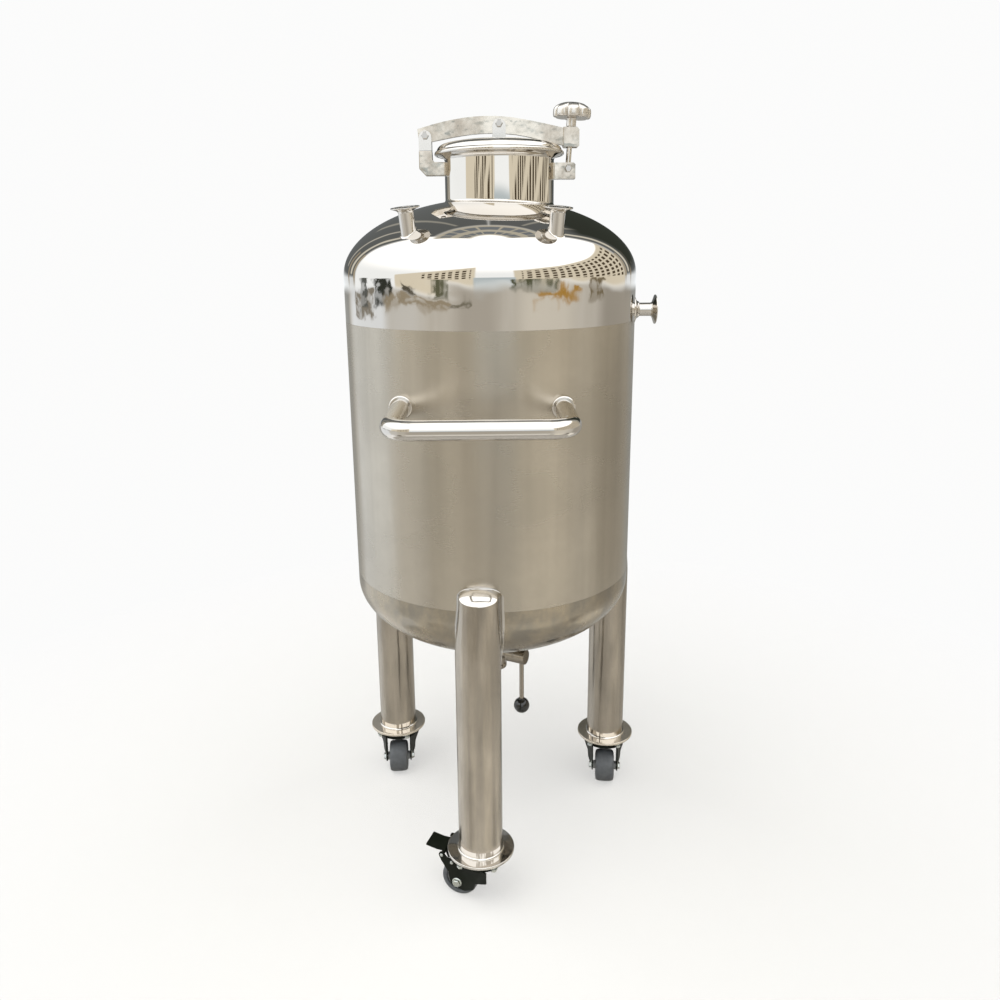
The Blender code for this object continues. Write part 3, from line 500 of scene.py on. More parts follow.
def end_tree(tree, geometry, finish):
    """Every tree ends in real meshes with their material."""
    real = add_node(tree, "GeometryNodeRealizeInstances", {"Geometry": geometry})
    painted = add_node(
        tree, "GeometryNodeSetMaterial", {"Geometry": real.outputs[0], "Material": finish}
    )
    add_node(tree, "NodeGroupOutput", {"Geometry": painted.outputs[0]})
    return tree


def bead_tree():
    """A round bar swept along each line of a mesh: handle tube, weld fillets."""
    tree, start = shape_tree("bar_along_line", {"Radius": 0.002, "Sides": 16, "Finish": ""})
    line = add_node(tree, "GeometryNodeMeshToCurve", {"Mesh": start["Geometry"]})
    ring = add_node(
        tree,
        "GeometryNodeCurvePrimitiveCircle",
        {"Resolution": start["Sides"], "Radius": start["Radius"]},
    )
    swept = add_node(
        tree,
        "GeometryNodeCurveToMesh",
        {"Curve": line.outputs[0], "Profile Curve": ring.outputs[0], "Fill Caps": True},
    )
    return end_tree(tree, swept.outputs[0], start["Finish"])


def fastener_tree():
    """A chamfered hexagon head on a washer at each point, facing the point's own way."""
    inputs = {"Head radius": 0.006, "Head height": 0.003, "Washer radius": 0.008, "Finish": ""}
    tree, start = shape_tree("hex_heads", inputs)

    def drum(sides, radius, factor, depth, lift=None):
        top = maths(tree, "MULTIPLY", radius, factor)
        sockets = {"Vertices": sides, "Radius Top": top, "Radius Bottom": radius}
        sockets["Depth"] = depth
        made = add_node(tree, "GeometryNodeMeshCone", sockets, fill_type="NGON").outputs["Mesh"]
        if lift is None:
            return made
        raised = add_node(tree, "ShaderNodeCombineXYZ", {"Z": lift})
        sockets = {"Geometry": made, "Translation": raised.outputs[0]}
        return add_node(tree, "GeometryNodeTransform", sockets).outputs[0]

    head, height = start["Head radius"], start["Head height"]
    whole = add_node(tree, "GeometryNodeJoinGeometry")
    for part in (
        drum(6, head, 1.0, height),
        drum(6, head, 0.80, 0.0011, height),
        drum(40, start["Washer radius"], 0.84, 0.0011),
    ):
        tree.links.new(part, whole.inputs[0])
    kind = "GeometryNodeInputNamedAttribute"
    way = add_node(tree, kind, {"Name": "way"}, data_type="FLOAT_VECTOR")
    turn = add_node(
        tree, "FunctionNodeAlignRotationToVector", {"Vector": way.outputs[0]}, axis="Z"
    )
    sockets = {"Points": start["Geometry"], "Instance": whole.outputs[0]}
    sockets["Rotation"] = turn.outputs[0]
    spread = add_node(tree, "GeometryNodeInstanceOnPoints", sockets)
    return end_tree(tree, spread.outputs[0], start["Finish"])


def grow(name, mesh, tree, **values):
    """Runs a tree on a mesh and keeps the result as a plain mesh."""
    obj = show(name, mesh)
    change = obj.modifiers.new("Nodes", "NODES")
    change.node_group = tree
    for item in tree.interface.items_tree:
        key = item.name.lower().replace(" ", "_")
        if item.in_out == "INPUT" and key in values:
            change[item.identifier] = values[key]
    return settle(obj)


def line_mesh(name, lines):
    """A mesh of open or closed lines; a line whose ends meet is closed."""
    mesh = bpy.data.meshes.new(name)
    points, edges = [], []
    for line in lines:
        first = len(points)
        closed = (Vector(line[0]) - Vector(line[-1])).length < TINY
        line = line[:-1] if closed else line
        points += [tuple(p) for p in line]
        edges += [(first + i, first + i + 1) for i in range(len(line) - 1)]
        if closed:
            edges.append((first + len(line) - 1, first))
    mesh.from_pydata(points, edges, [])
    return mesh


# Finishes


def new_finish(name, tone, metallic, roughness):
    mat = bpy.data.materials.new(name)
    mat.use_nodes = True
    tree = mat.node_tree
    shader = tree.nodes["Principled BSDF"]
    shader.inputs["Base Color"].default_value = (*tone, 1.0)
    shader.inputs["Metallic"].default_value = metallic
    shader.inputs["Roughness"].default_value = roughness
    return mat, tree, shader


def noise(tree, scale, detail=2.0, stretch=(1.0, 1.0, 1.0), rough=0.5):
    """Noise in object space, stretched; its scale is in cycles a metre."""
    spot = add_node(tree, "ShaderNodeTexCoord")
    place = add_node(
        tree, "ShaderNodeMapping", {"Vector": spot.outputs["Object"], "Scale": stretch}
    )
    found = add_node(
        tree,
        "ShaderNodeTexNoise",
        {"Vector": place.outputs[0], "Scale": scale, "Detail": detail, "Roughness": rough},
    )
    return found.outputs["Fac"]


def ranged(tree, value, low, high, start=0.3, end=0.7):
    found = add_node(
        tree,
        "ShaderNodeMapRange",
        {"Value": value, "From Min": start, "From Max": end, "To Min": low, "To Max": high},
    )
    return found.outputs[0]


def tinted(tree, value, first, second):
    blend = add_node(
        tree, "ShaderNodeMix", {0: value, 6: (*first, 1.0), 7: (*second, 1.0)}, data_type="RGBA"
    )
    return blend.outputs[2]


def shade(tone, factor):
    return tuple(v * factor for v in tone)


def bumped(tree, shader, *layers):
    """Stacks bumps given as (height, strength, distance)."""
    below = None
    for height, strength, distance in layers:
        sockets = {"Height": height, "Strength": strength, "Distance": distance}
        if below is not None:
            sockets["Normal"] = below
        below = add_node(tree, "ShaderNodeBump", sockets).outputs[0]
    tree.links.new(below, shader.inputs["Normal"])


def mirror_steel(name, tone, wave, haze, clear=0.02, pull=1.0):
    """Stainless steel, ground and buffed to a mirror: clear reflections that swim a
    little on the hand-worked wall, and a faint haze where the wheel lingered."""
    mat, tree, shader = new_finish(name, tone, 1.0, 0.05)
    clouds = noise(tree, 14.0, 3.0)
    tree.links.new(ranged(tree, clouds, clear, haze), shader.inputs["Roughness"])
    tree.links.new(
        tinted(tree, ranged(tree, noise(tree, 6.0), 0.0, 1.0), tone, shade(tone, 0.93)),
        shader.inputs["Base Color"],
    )
    bumped(tree, shader, (noise(tree, 16.0, 1.0, (1.0, 1.0, pull)), wave, 0.004))
    return mat


def brushed_steel(
    name, tone, rough, depth=0.10, streak=26.0, drawn=0.07, relief=0.2, cloud=(5.0, 1.4)
):
    """Stainless steel, brushed round the vessel with a fine belt: reflections are drawn
    out upwards into soft streaks, and the belt's passes leave paler and darker clouds."""
    mat, tree, shader = new_finish(name, tone, 1.0, rough)
    grain = noise(tree, 22.0, 2.0, (1.0, 1.0, 90.0), 0.6)
    patches = noise(tree, cloud[0], 4.0, (1.0, 1.0, cloud[1]), 0.55)
    tall = noise(tree, streak, 3.0, (1.0, 1.0, drawn), 0.5)
    fine = ranged(tree, grain, -0.006, 0.006)
    spread = maths(tree, "ADD", fine, ranged(tree, patches, rough - 0.05, rough + 0.06))
    tree.links.new(spread, shader.inputs["Roughness"])
    halves = [ranged(tree, found, 0.0, 0.5, 0.36, 0.64) for found in (patches, tall)]
    pale, dark = shade(tone, 1.0 + depth), shade(tone, 1.0 - 1.3 * depth)
    tree.links.new(
        tinted(tree, maths(tree, "ADD", *halves), pale, dark), shader.inputs["Base Color"]
    )
    shader.inputs["Anisotropic"].default_value = 0.65
    shader.inputs["Anisotropic Rotation"].default_value = 0.25
    way = add_node(tree, "ShaderNodeTangent", direction_type="RADIAL", axis="Z")
    tree.links.new(way.outputs[0], shader.inputs["Tangent"])
    bumped(tree, shader, (tall, relief, 0.002))
    return mat


def stained_steel(name, tone):
    """The lower head was buffed by hand and left half finished: grey polish with tan
    clouds a few centimetres wide."""
    mat, tree, shader = new_finish(name, tone, 1.0, 0.2)
    clouds = noise(tree, 22.0, 6.0, (1.0, 1.0, 0.55), 0.66)
    tan = (tone[0] * 1.20, tone[1] * 1.14, tone[2] * 1.04)
    stain = ranged(tree, clouds, 0.0, 1.0, 0.38, 0.60)
    tree.links.new(tinted(tree, stain, shade(tone, 0.86), tan), shader.inputs["Base Color"])
    tree.links.new(ranged(tree, clouds, 0.14, 0.30, 0.4, 0.65), shader.inputs["Roughness"])
    bumped(tree, shader, (noise(tree, 20.0, 2.0), 0.25, 0.003))
    return mat


def polish_foot(mat, height):
    """The lowest part of each leg is buffed bright after its foot is welded on."""
    tree = mat.node_tree
    shader = tree.nodes["Principled BSDF"]
    spot = add_node(tree, "ShaderNodeTexCoord")
    part = add_node(tree, "ShaderNodeSeparateXYZ", {0: spot.outputs["Object"]})
    mask = ranged(tree, part.outputs["Z"], 1.0, 0.0, height - 0.0006, height + 0.0006)
    bright = shade(tuple(sizes("finish").mirror), 1.1)
    coat = shader.inputs["Base Color"]
    marks = ranged(tree, noise(tree, 75.0, 2.0, (1.0, 1.0, 0.2)), 0.0, 1.0, 0.50, 0.56)
    marks = tinted(tree, marks, bright, shade(tuple(sizes("finish").leg), 0.85))
    blend = add_node(tree, "ShaderNodeMix", {0: mask, 7: marks}, data_type="RGBA")
    tree.links.new(coat.links[0].from_socket, blend.inputs[6])
    tree.links.new(blend.outputs[2], coat)
    for key, buffed in (("Roughness", 0.05), ("Anisotropic", 0.0)):
        socket = shader.inputs[key]
        blend = add_node(tree, "ShaderNodeMix", {0: mask, 3: buffed})
        if socket.links:
            tree.links.new(socket.links[0].from_socket, blend.inputs[2])
        else:
            blend.inputs[2].default_value = socket.default_value
        tree.links.new(blend.outputs[0], socket)
    return mat


def plate_steel(name, tone, wave):
    """Cut steel plate, polished by hand over the laser's marks: a bright skin with
    uneven, wandering reflections and grey smudges."""
    mat, tree, shader = new_finish(name, tone, 1.0, 0.2)
    tree.links.new(ranged(tree, noise(tree, 70.0, 4.0), 0.08, 0.26), shader.inputs["Roughness"])
    worn = ranged(tree, noise(tree, 22.0, 7.0, (1.0, 1.0, 0.6), 0.62), 0.0, 1.0, 0.47, 0.68)
    smudge = (tone[0] * 0.60, tone[1] * 0.57, tone[2] * 0.54)
    tree.links.new(tinted(tree, worn, tone, smudge), shader.inputs["Base Color"])
    bumped(tree, shader, (noise(tree, 42.0, 2.0), wave, 0.003))
    return mat


def mottled(name, metallic, clouds, gloss, relief, constants=None):
    """A finish that drifts between two tones, unevenly glossy, over a fine relief. Clouds
    are two tones, then the noise's scale, detail and roughness and the range it is read
    over; gloss is scale, detail and two roughnesses; relief is scale, detail, strength
    and depth."""
    first, second, scale, detail, rough, start, end = clouds
    mat, tree, shader = new_finish(name, first, metallic, gloss[3])
    if first != second:
        found = noise(tree, scale, detail, (1.0, 1.0, 1.0), rough)
        share = ranged(tree, found, 0.0, 1.0, start, end)
        tree.links.new(tinted(tree, share, first, second), shader.inputs["Base Color"])
    if gloss[2] < gloss[3]:
        found = ranged(tree, noise(tree, *gloss[:2]), *gloss[2:])
        tree.links.new(found, shader.inputs["Roughness"])
    bumped(tree, shader, (noise(tree, *relief[:2]), *relief[2:]))
    for key, value in (constants or {}).items():
        shader.inputs[key].default_value = value
    return mat


def make_finishes():
    tones = sizes("finish")
    mirror, shell, leg = tuple(tones.mirror), tuple(tones.shell), tuple(tones.leg)
    made = {
        "dome": mirror_steel("mirror_polished_head", mirror, 0.10, 0.035, 0.012),
        "foot_front": mirror_steel("mirror_polished_foot", shade(mirror, 0.92), 0.85, 0.12),
        "ear": mirror_steel("polished_ear_steel", shade(mirror, 0.98), 0.45, 0.20, 0.08),
        "knob": mirror_steel("satin_knob_steel", shade(mirror, 1.05), 0.12, 0.36, 0.22),
        "mirror": mirror_steel("mirror_polished_steel", mirror, 0.16, 0.10),
        "rolled": mirror_steel("mirror_polished_neck", mirror, 0.9, 0.04, 0.02, 0.08),
        "turned": mirror_steel("polished_bolt_steel", shade(mirror, 0.72), 0.05, 0.20),
        "shell": brushed_steel("brushed_shell_steel", shell, 0.25, 0.12, 20.0, 0.05, 0.34),
        "lower": stained_steel("half_polished_head", shade(shell, 0.71)),
        "fitting": brushed_steel("turned_fitting_steel", shade(leg, 0.8), 0.24, 0.05),
        "plate": plate_steel("hand_polished_plate", tuple(tones.plate), 0.5),
    }

    # The saddle pads take the darker polished bolt steel: its dark tone is painted shade, standing
    # in for the dark that the saddles' sideways faces mirror.
    made["pad"] = made["turned"]

    # The legs carry handling marks: darker streaks a hand long on the brushed tube. The three
    # legs take lit and shaded copies of one steel tone: the front leg is painted a little
    # brighter and the rear pair duller, as painted shade for the tank's own shade in which
    # they stand. Buffing dust lies on the rear pair's foot discs and lifts the dark that is
    # mirrored there.
    marks = (70.0, 0.10, 0.35, (30.0, 0.30))
    for corner, level in (("front", 1.06), ("left", 0.92), ("right", 0.88)):
        part = "leg_" + corner
        made[part] = brushed_steel("brushed_steel_" + part, shade(leg, level), 0.20, 0.17, *marks)
        polish_foot(made[part], sizes("leg").foot_top + 0.0125)
        if corner != "front":
            dusty = (mirror[0] * 0.95, mirror[1] * 0.90, mirror[2] * 0.82)
            disc = mirror_steel("dusty_foot_" + corner, dusty, 0.85, 0.12)
            disc.node_tree.nodes["Principled BSDF"].inputs["Metallic"].default_value = 0.76
            made["foot_" + corner] = disc

    # Bright zinc plate: thin, slightly milky, with cool and warm clouds.
    zinc = tuple(tones.zinc)
    warm = (zinc[0] * 0.92, zinc[1] * 0.88, zinc[2] * 0.78)
    made["zinc"] = mottled(
        "bright_zinc_plate",
        1.0,
        (zinc, warm, 90.0, 3.0, 0.5, 0.3, 0.7),
        (160.0, 2.0, 0.20, 0.38),
        (500.0, 2.0, 0.08, 0.0004),
    )
    # Stoved black paint on pressed steel: half gloss, fine orange peel, dust in hollows.
    paint = tuple(tones.paint)
    dusty = tuple(p + (d - p) * 0.4 for p, d in zip(paint, (0.022, 0.024, 0.019)))
    made["paint"] = mottled(
        "stoved_black_paint",
        0.0,
        (paint, dusty, 55.0, 5.0, 0.6, 0.5, 0.8),
        (70.0, 3.0, 0.34, 0.52),
        (900.0, 2.0, 0.10, 0.0003),
        {"Specular IOR Level": 0.12},
    )
    # Thermoplastic rubber tread: matt grey, with the scuffs of a swept floor.
    tyre = tuple(tones.tyre)
    made["tyre"] = mottled(
        "grey_rubber_tread",
        0.0,
        (shade(tyre, 0.9), shade(tyre, 1.3), 80.0, 6.0, 0.65, 0.4, 0.8),
        (120.0, 3.0, 0.42, 0.68),
        (1400.0, 3.0, 0.22, 0.0003),
    )
    # Moulded polypropylene hub: a little lighter, with a soft sheen.
    hub = tuple(tones.hub)
    made["hub"] = mottled(
        "moulded_grey_hub",
        0.0,
        (hub, shade(hub, 0.85), 70.0, 4.0, 0.5, 0.3, 0.7),
        (70.0, 4.0, 0.38, 0.38),
        (700.0, 2.0, 0.06, 0.0003),
    )
    # Phenolic ball grip: near black, moulded to a gloss.
    ball = tuple(tones.ball)
    made["ball"] = mottled(
        "phenolic_ball",
        0.0,
        (ball, ball, 130.0, 4.0, 0.5, 0.3, 0.7),
        (130.0, 4.0, 0.06, 0.16),
        (180.0, 1.0, 0.04, 0.0005),
        {"Coat Weight": 0.35, "Coat Roughness": 0.04},
    )
    # Moulded silicone seal: pale, matt and faintly clouded.
    seal = tuple(tones.seal)
    made["seal"] = mottled(
        "moulded_silicone",
        0.0,
        (seal, shade(seal, 0.9), 60.0, 2.0, 0.5, 0.3, 0.7),
        (60.0, 2.0, 0.5, 0.5),
        (600.0, 2.0, 0.1, 0.0002),
    )
    return made


# The finishes and the two node trees, made when the first of them is asked for.
MADE = {}


def finish_of(name):
    if not MADE:
        MADE.update(make_finishes())
        MADE["bead tree"] = bead_tree()
        MADE["fastener tree"] = fastener_tree()
    return MADE[name]


# Vessel


def dish(radius, depth, centre, upward, steps):
    """A quarter ellipse, from the axis out to the tangent line."""
    sign = 1.0 if upward else -1.0
    turns = [math.radians(90.0) * (1.0 - i / steps) for i in range(steps + 1)]
    line = [(radius * math.cos(t), centre + sign * depth * math.sin(t)) for t in turns]
    return [(0.0, line[0][1])] + line[1:]


def dome_height(x, y):
    vessel = sizes("vessel")
    return vessel.tangent_top + vessel.dish * math.sqrt(1.0 - (x * x + y * y) / vessel.radius**2)


def tank_block(offset):
    """The whole outside of the vessel, grown by an offset, as a cutter."""
    vessel = sizes("vessel")
    radius, depth = vessel.radius + offset, vessel.dish + offset
    top = dish(radius, depth, vessel.tangent_top, True, 24)
    low = dish(radius, depth, vessel.tangent_low, False, 24)
    return lathe("tank_block", top + low[::-1], vessel.sides)


def true_normals(mesh, centre, upward):
    """Gives both skins of a dished head the normals of its exact curve, so that cuts
    leave no mark in the reflections."""
    vessel = sizes("vessel")
    skins = []
    for shrink, side in ((0.0, 1.0), (vessel.wall, -1.0)):
        skins.append((vessel.radius - shrink, vessel.dish - shrink, side))
    normals = []
    for face in mesh.polygons:
        for index in face.vertices:
            x, y, z = mesh.vertices[index].co
            best = face.normal
            for radius, depth, side in skins:
                rise = (z - centre) / depth**2 if (z > centre) == upward else 0.0
                exact = Vector((x / radius**2, y / radius**2, rise)).normalized() * side
                if exact.dot(face.normal) > 0.97:
                    best = exact
                    break
            normals.append(best)
    mesh.shade_smooth()
    mesh.normals_split_custom_set(normals)


# Where the two top ferrules stand on the dome, in X and Y.
FERRULES = {"left": (-0.1235, -0.1680), "right": (0.1000, -0.1860)}


def ferrule_line(side):
    """Where a top ferrule stands on the dome and the way it leans."""
    fitting = sizes("fitting")
    x, y = FERRULES[side]
    base = Vector((x, y, dome_height(x, y)))
    lean = math.sin(fitting.tilt) / math.hypot(x, y)
    return base, Vector((x * lean, y * lean, math.cos(fitting.tilt)))


class BuildVessel(bpy.types.Operator):
    """Makes the rolled shell and both dished heads, open where pipes pass through"""

    bl_idname = "tank.build_vessel"
    bl_label = "Vessel"

    def execute(self, context):
        vessel, fitting, manway = sizes("vessel"), sizes("fitting"), sizes("manway")
        radius, wall, sides = vessel.radius, vessel.wall, vessel.sides
        corners = [
            (radius, vessel.seam_top),
            (radius, vessel.seam_low),
            (radius - wall, vessel.seam_low),
            (radius - wall, vessel.seam_top),
        ]
        shell = lathe("rolled_shell", rounded(corners, 0.0004), sides)
        present(shell, "shell", "tank", ["shell"])

        outer = dish(radius, vessel.dish, vessel.tangent_top, True, 56)
        inner = dish(radius - wall, vessel.dish - wall, vessel.tangent_top, True, 28)
        ends = [(radius, vessel.seam_top), (radius - wall, vessel.seam_top)]
        top = lathe("top_dish", outer + ends + inner[::-1], sides)
        centre = Vector((manway.offset, 0.0, 0.0))
        low, high = centre + Vector((0, 0, 1.05)), centre + Vector((0, 0, 1.3))
        combine(top, rod("hole", manway.neck - 0.001, low, high, 96), "DIFFERENCE")
        start, end = Vector((0.2, 0, fitting.nozzle_z)), Vector((0.3, 0, fitting.nozzle_z))
        combine(top, rod("hole", fitting.pipe, start, end), "DIFFERENCE")
        for side in ("left", "right"):
            base, way = ferrule_line(side)
            hole = rod("hole", fitting.pipe - 0.0005, base - way * 0.05, base + way * 0.05)
            combine(top, hole, "DIFFERENCE")
        true_normals(top.data, vessel.tangent_top, True)
        present(top, "dome", "tank", ["top_head"], 0, False)

        outlet = sizes("outlet")
        outer = dish(radius, vessel.dish, vessel.tangent_low, False, 48)
        inner = dish(radius - wall, vessel.dish - wall, vessel.tangent_low, False, 24)
        ends = [(radius - wall, vessel.seam_low), (radius, vessel.seam_low)]
        low = lathe("bottom_dish", inner + ends + outer[::-1], sides)
        hole = rod("hole", outlet.stub - 0.0005, (0, 0, 0.3), (0, 0, 0.42))
        combine(low, hole, "DIFFERENCE")
        true_normals(low.data, vessel.tangent_low, False)
        present(low, "lower", "tank", ["bottom_head"], 0, False)
        return {"FINISHED"}


# Manway


class BuildManway(bpy.types.Operator):
    """Makes the manway's neck with its lip, the ring seal and the dished lid"""

    bl_idname = "tank.build_manway"
    bl_label = "Manway and lid"

    def execute(self, context):
        manway = sizes("manway")
        centre = Matrix.Translation((manway.offset, 0, 0))
        inside = manway.neck - manway.neck_wall
        lip_top = manway.lip_z + 0.003
        neck = [
            (manway.lip, lip_top),
            (manway.lip, manway.lip_z),
            (manway.neck + 0.0080, manway.lip_z - 0.0012),
            (manway.neck + 0.0042, manway.lip_z - 0.0026),
            (manway.neck + 0.0014, manway.lip_z - 0.0048),
            (manway.neck + 0.0003, manway.lip_z - 0.0066),
            (manway.neck, manway.lip_z - 0.0084),
            (manway.neck, manway.foot),
            (inside, manway.foot),
            (inside, lip_top),
        ]
        neck = lathe("manway_ring", rounded(neck, 0.0009), 160, centre)
        present(neck, "rolled", "tank", ["manway_neck"])

        seal_top = lip_top + 0.003
        ring = [(0.1020, seal_top), (0.1020, lip_top + 0.0003)]
        ring += [(manway.neck, lip_top + 0.0003), (manway.neck, seal_top)]
        seal = lathe("ring_seal", rounded(ring, 0.0009), 128, centre)
        present(seal, "seal", "tank", ["lid_seal"])

        top = manway.lid_z
        crown = [(0.0, top), (0.035, top - 0.0008), (0.066, top - 0.0030), (0.085, top - 0.0058)]
        crown += [(0.0932, top - 0.0075), (0.0974, top - 0.0090), (0.1007, top - 0.0112)]
        crown += [(0.1031, top - 0.0141), (0.1046, top - 0.0176)]
        rim = [(0.1060, top - 0.0187), (0.1074, top - 0.0200), (manway.lid, top - 0.0218)]
        rim += [(manway.lid, top - 0.0236), (0.1072, top - 0.0246)]
        under = seal_top + 0.0003
        hollow = [(manway.lip + 0.0009, top - 0.0250), (manway.lip + 0.0007, under)]
        hollow += [(0.0890, under), (0.0850, top - 0.0110), (0.0660, top - 0.0062)]
        hollow += [(0.0350, top - 0.0040), (0.0, top - 0.0032)]
        profile = smooth_line(crown, 6) + smooth_line(rim, 4) + rounded(hollow, 0.0008, 3, False)
        lid = lathe("lid_dish", profile, 160, centre)
        present(lid, "mirror", "tank", ["lid"], 40.0, False)
        return {"FINISHED"}


# Clamp


class BuildClamp(bpy.types.Operator):
    """Makes the arm over the lid with its hinge, lugs and pins"""

    bl_idname = "tank.build_clamp"
    bl_label = "Clamp arm and lugs"

    def execute(self, context):
        clamp = sizes("clamp")
        for node in ("clamp_arm", "lid_bracket", "hinge_lug", "hinge_clevis", "bolt_lug"):
            piece = from_solid(node + "_plate", node, clamp.easing)
            look = "ear" if node in ("lid_bracket", "hinge_clevis") else "plate"
            present(piece, look, "tank", [node])
        # Node, X, Z and how far the shaft reaches out at both sides.
        pins = (
            ("hinge_pin", -0.1052, 1.2729, 0.0095),
            ("centre_pin", 0.0175, 1.2909, 0.0095),
            ("bolt_pin", clamp.bolt_x, clamp.bolt_z, 0.0106),
        )
        for node, x, z, out in pins:
            shaft = rod("shaft", 0.004, (x, -out - 0.001, z), (x, out + 0.001, z))
            ends = [((x, side * (out + 0.0007), z), (0, side, 0)) for side in (-1, 1)]
            heads = heads_at(ends, "pin")
            piece = join(node + "_bolt", shaft, heads)
            present(piece, "turned", "tank", [node])
        return {"FINISHED"}


# Hexagon heads: radius over the corners, height, radius of the washer, finish.
HEADS = {
    "pin": (0.0062, 0.0052, 0.0050, "turned"),
    "axle": (0.0070, 0.0040, 0.0086, "zinc"),
    "nut": (0.0058, 0.0058, 0.0068, "zinc"),
}


def heads_at(points, kind):
    """Hexagon heads of one kind at points given as (place, way)."""
    radius, height, washer, finish = HEADS[kind]
    mesh = bpy.data.meshes.new("spots")
    mesh.from_pydata([tuple(place) for place, way in points], [], [])
    kept = mesh.attributes.new("way", "FLOAT_VECTOR", "POINT")
    kept.data.foreach_set("vector", [float(v) for place, way in points for v in way])
    tree = finish_of("fastener tree")
    looks = {"head_radius": radius, "head_height": height, "washer_radius": washer}
    return grow("heads", mesh, tree, finish=finish_of(finish), **looks)


class BuildSwingBolt(bpy.types.Operator):
    """Makes the swing bolt and its lobed hand knob"""

    bl_idname = "tank.build_swing_bolt"
    bl_label = "Swing bolt and knob"

    def execute(self, context):
        clamp = sizes("clamp")
        stand = Matrix.Translation((clamp.bolt_x, 0, clamp.bolt_z))
        stand = stand @ Matrix.Rotation(clamp.lean, 4, "Y")
        eye = [(0.0043, 0.005), (0.0085, 0.005), (0.0085, -0.005), (0.0043, -0.005)]
        eye = lathe("eye", rounded(eye, 0.0007), 64, ALONG_Y)
        profile = [(0.0, 0.0062), (clamp.rod, 0.0062), (clamp.rod, 0.0922), (0.0, 0.0922)]
        bar = lathe("bar", profile, 48)
        combine(eye, bar, "UNION")
        eye.name = "swing_bolt_rod"
        present(eye, "mirror", "bolt", ["swing_bolt"], spot=stand)

        low, top = 0.0800, 0.1042
        crown = [(0.0, top - 0.0002), (0.010, top - 0.0007), (0.019, top - 0.0026)]
        crown += [(0.0255, top - 0.0057), (0.0292, top - 0.0088), (clamp.knob, top - 0.0120)]
        crown += [(0.0313, low + 0.0050), (0.0305, low + 0.0010), (0.0290, low)]
        sleeve = [(0.0120, low), (0.0085, low - 0.0008), (0.0080, low - 0.0020)]
        sleeve += [(0.0080, 0.0668), (0.0047, 0.0668), (0.0047, 0.0925), (0.0, 0.0925)]
        profile = smooth_line(crown, 5) + rounded(sleeve, 0.0005, 2, False)

        def hollows(r, z, turn):
            """Finger hollows, deepest at the rim."""
            if z < low - 0.0001 or z > top or r < 0.016:
                return r
            wave = abs(math.cos(clamp.lobes * turn / 2))
            return r - 0.0050 * ((r - 0.016) / 0.015) * (1.0 - wave) ** 2.2

        knob = lathe("hand_knob", profile, 192, None, hollows)
        present(knob, "knob", "knob", ["clamp_knob"], spot=stand)
        return {"FINISHED"}


# Ferrules and nozzle


def flange_profile(face, foot, flange):
    """A clamp ferrule: flat face with a seal groove, 20 degree back, pipe to its foot."""
    fitting = sizes("fitting")
    pipe, bore = fitting.pipe, fitting.bore
    back = face - 0.0016 - (flange - pipe - 0.004) * math.tan(math.radians(20.0))
    groove = (bore + flange) / 2 + 0.001
    outline = [
        (bore, face),
        (groove - 0.0016, face),
        (groove - 0.0010, face - 0.0008),
        (groove + 0.0010, face - 0.0008),
        (groove + 0.0016, face),
        (flange, face),
        (flange, face - 0.0016),
        (pipe + 0.004, back),
        (pipe + 0.0012, back - 0.0014),
        (pipe, back - 0.0040),
        (pipe, foot),
        (bore, foot),
    ]
    return rounded(outline, 0.0006, 3)


class BuildFittings(bpy.types.Operator):
    """Makes the two top ferrules and the side nozzle with its flared collar"""

    bl_idname = "tank.build_fittings"
    bl_label = "Ferrules and nozzle"

    def execute(self, context):
        fitting = sizes("fitting")
        for side in ("left", "right"):
            base, way = ferrule_line(side)
            turn = way.to_track_quat("Z", "Y").to_matrix().to_4x4()
            shape = flange_profile(fitting.length, -0.019, fitting.flange)
            piece = lathe("ferrule_pipe_" + side, shape, 96, Matrix.Translation(base) @ turn)
            node = "ferrule_" + side
            present(piece, "mirror", "tank", [node])

        along = Matrix.Translation((0, 0, fitting.nozzle_z)) @ ALONG_X
        pipe = fitting.pipe
        shape = flange_profile(fitting.nozzle_face, 0.240, fitting.nozzle_flange)
        nozzle = lathe("side_pipe", shape, 96, along)
        flare = [(0.0112, 0.2600), (pipe + 0.0006, 0.2600), (pipe + 0.0022, 0.2590)]
        flare += [(0.0155, 0.2560), (0.0200, 0.2535), (0.0235, 0.2515), (0.0242, 0.2450)]
        flare = smooth_line(flare, 4) + [(0.0112, 0.2450)]
        collar = lathe("collar", flare, 96, along)
        combine(collar, tank_block(0.0), "DIFFERENCE")
        nozzle = join("side_pipe_flanged", nozzle, collar)
        present(nozzle, "mirror", "tank", ["side_nozzle"])
        return {"FINISHED"}


# Handle


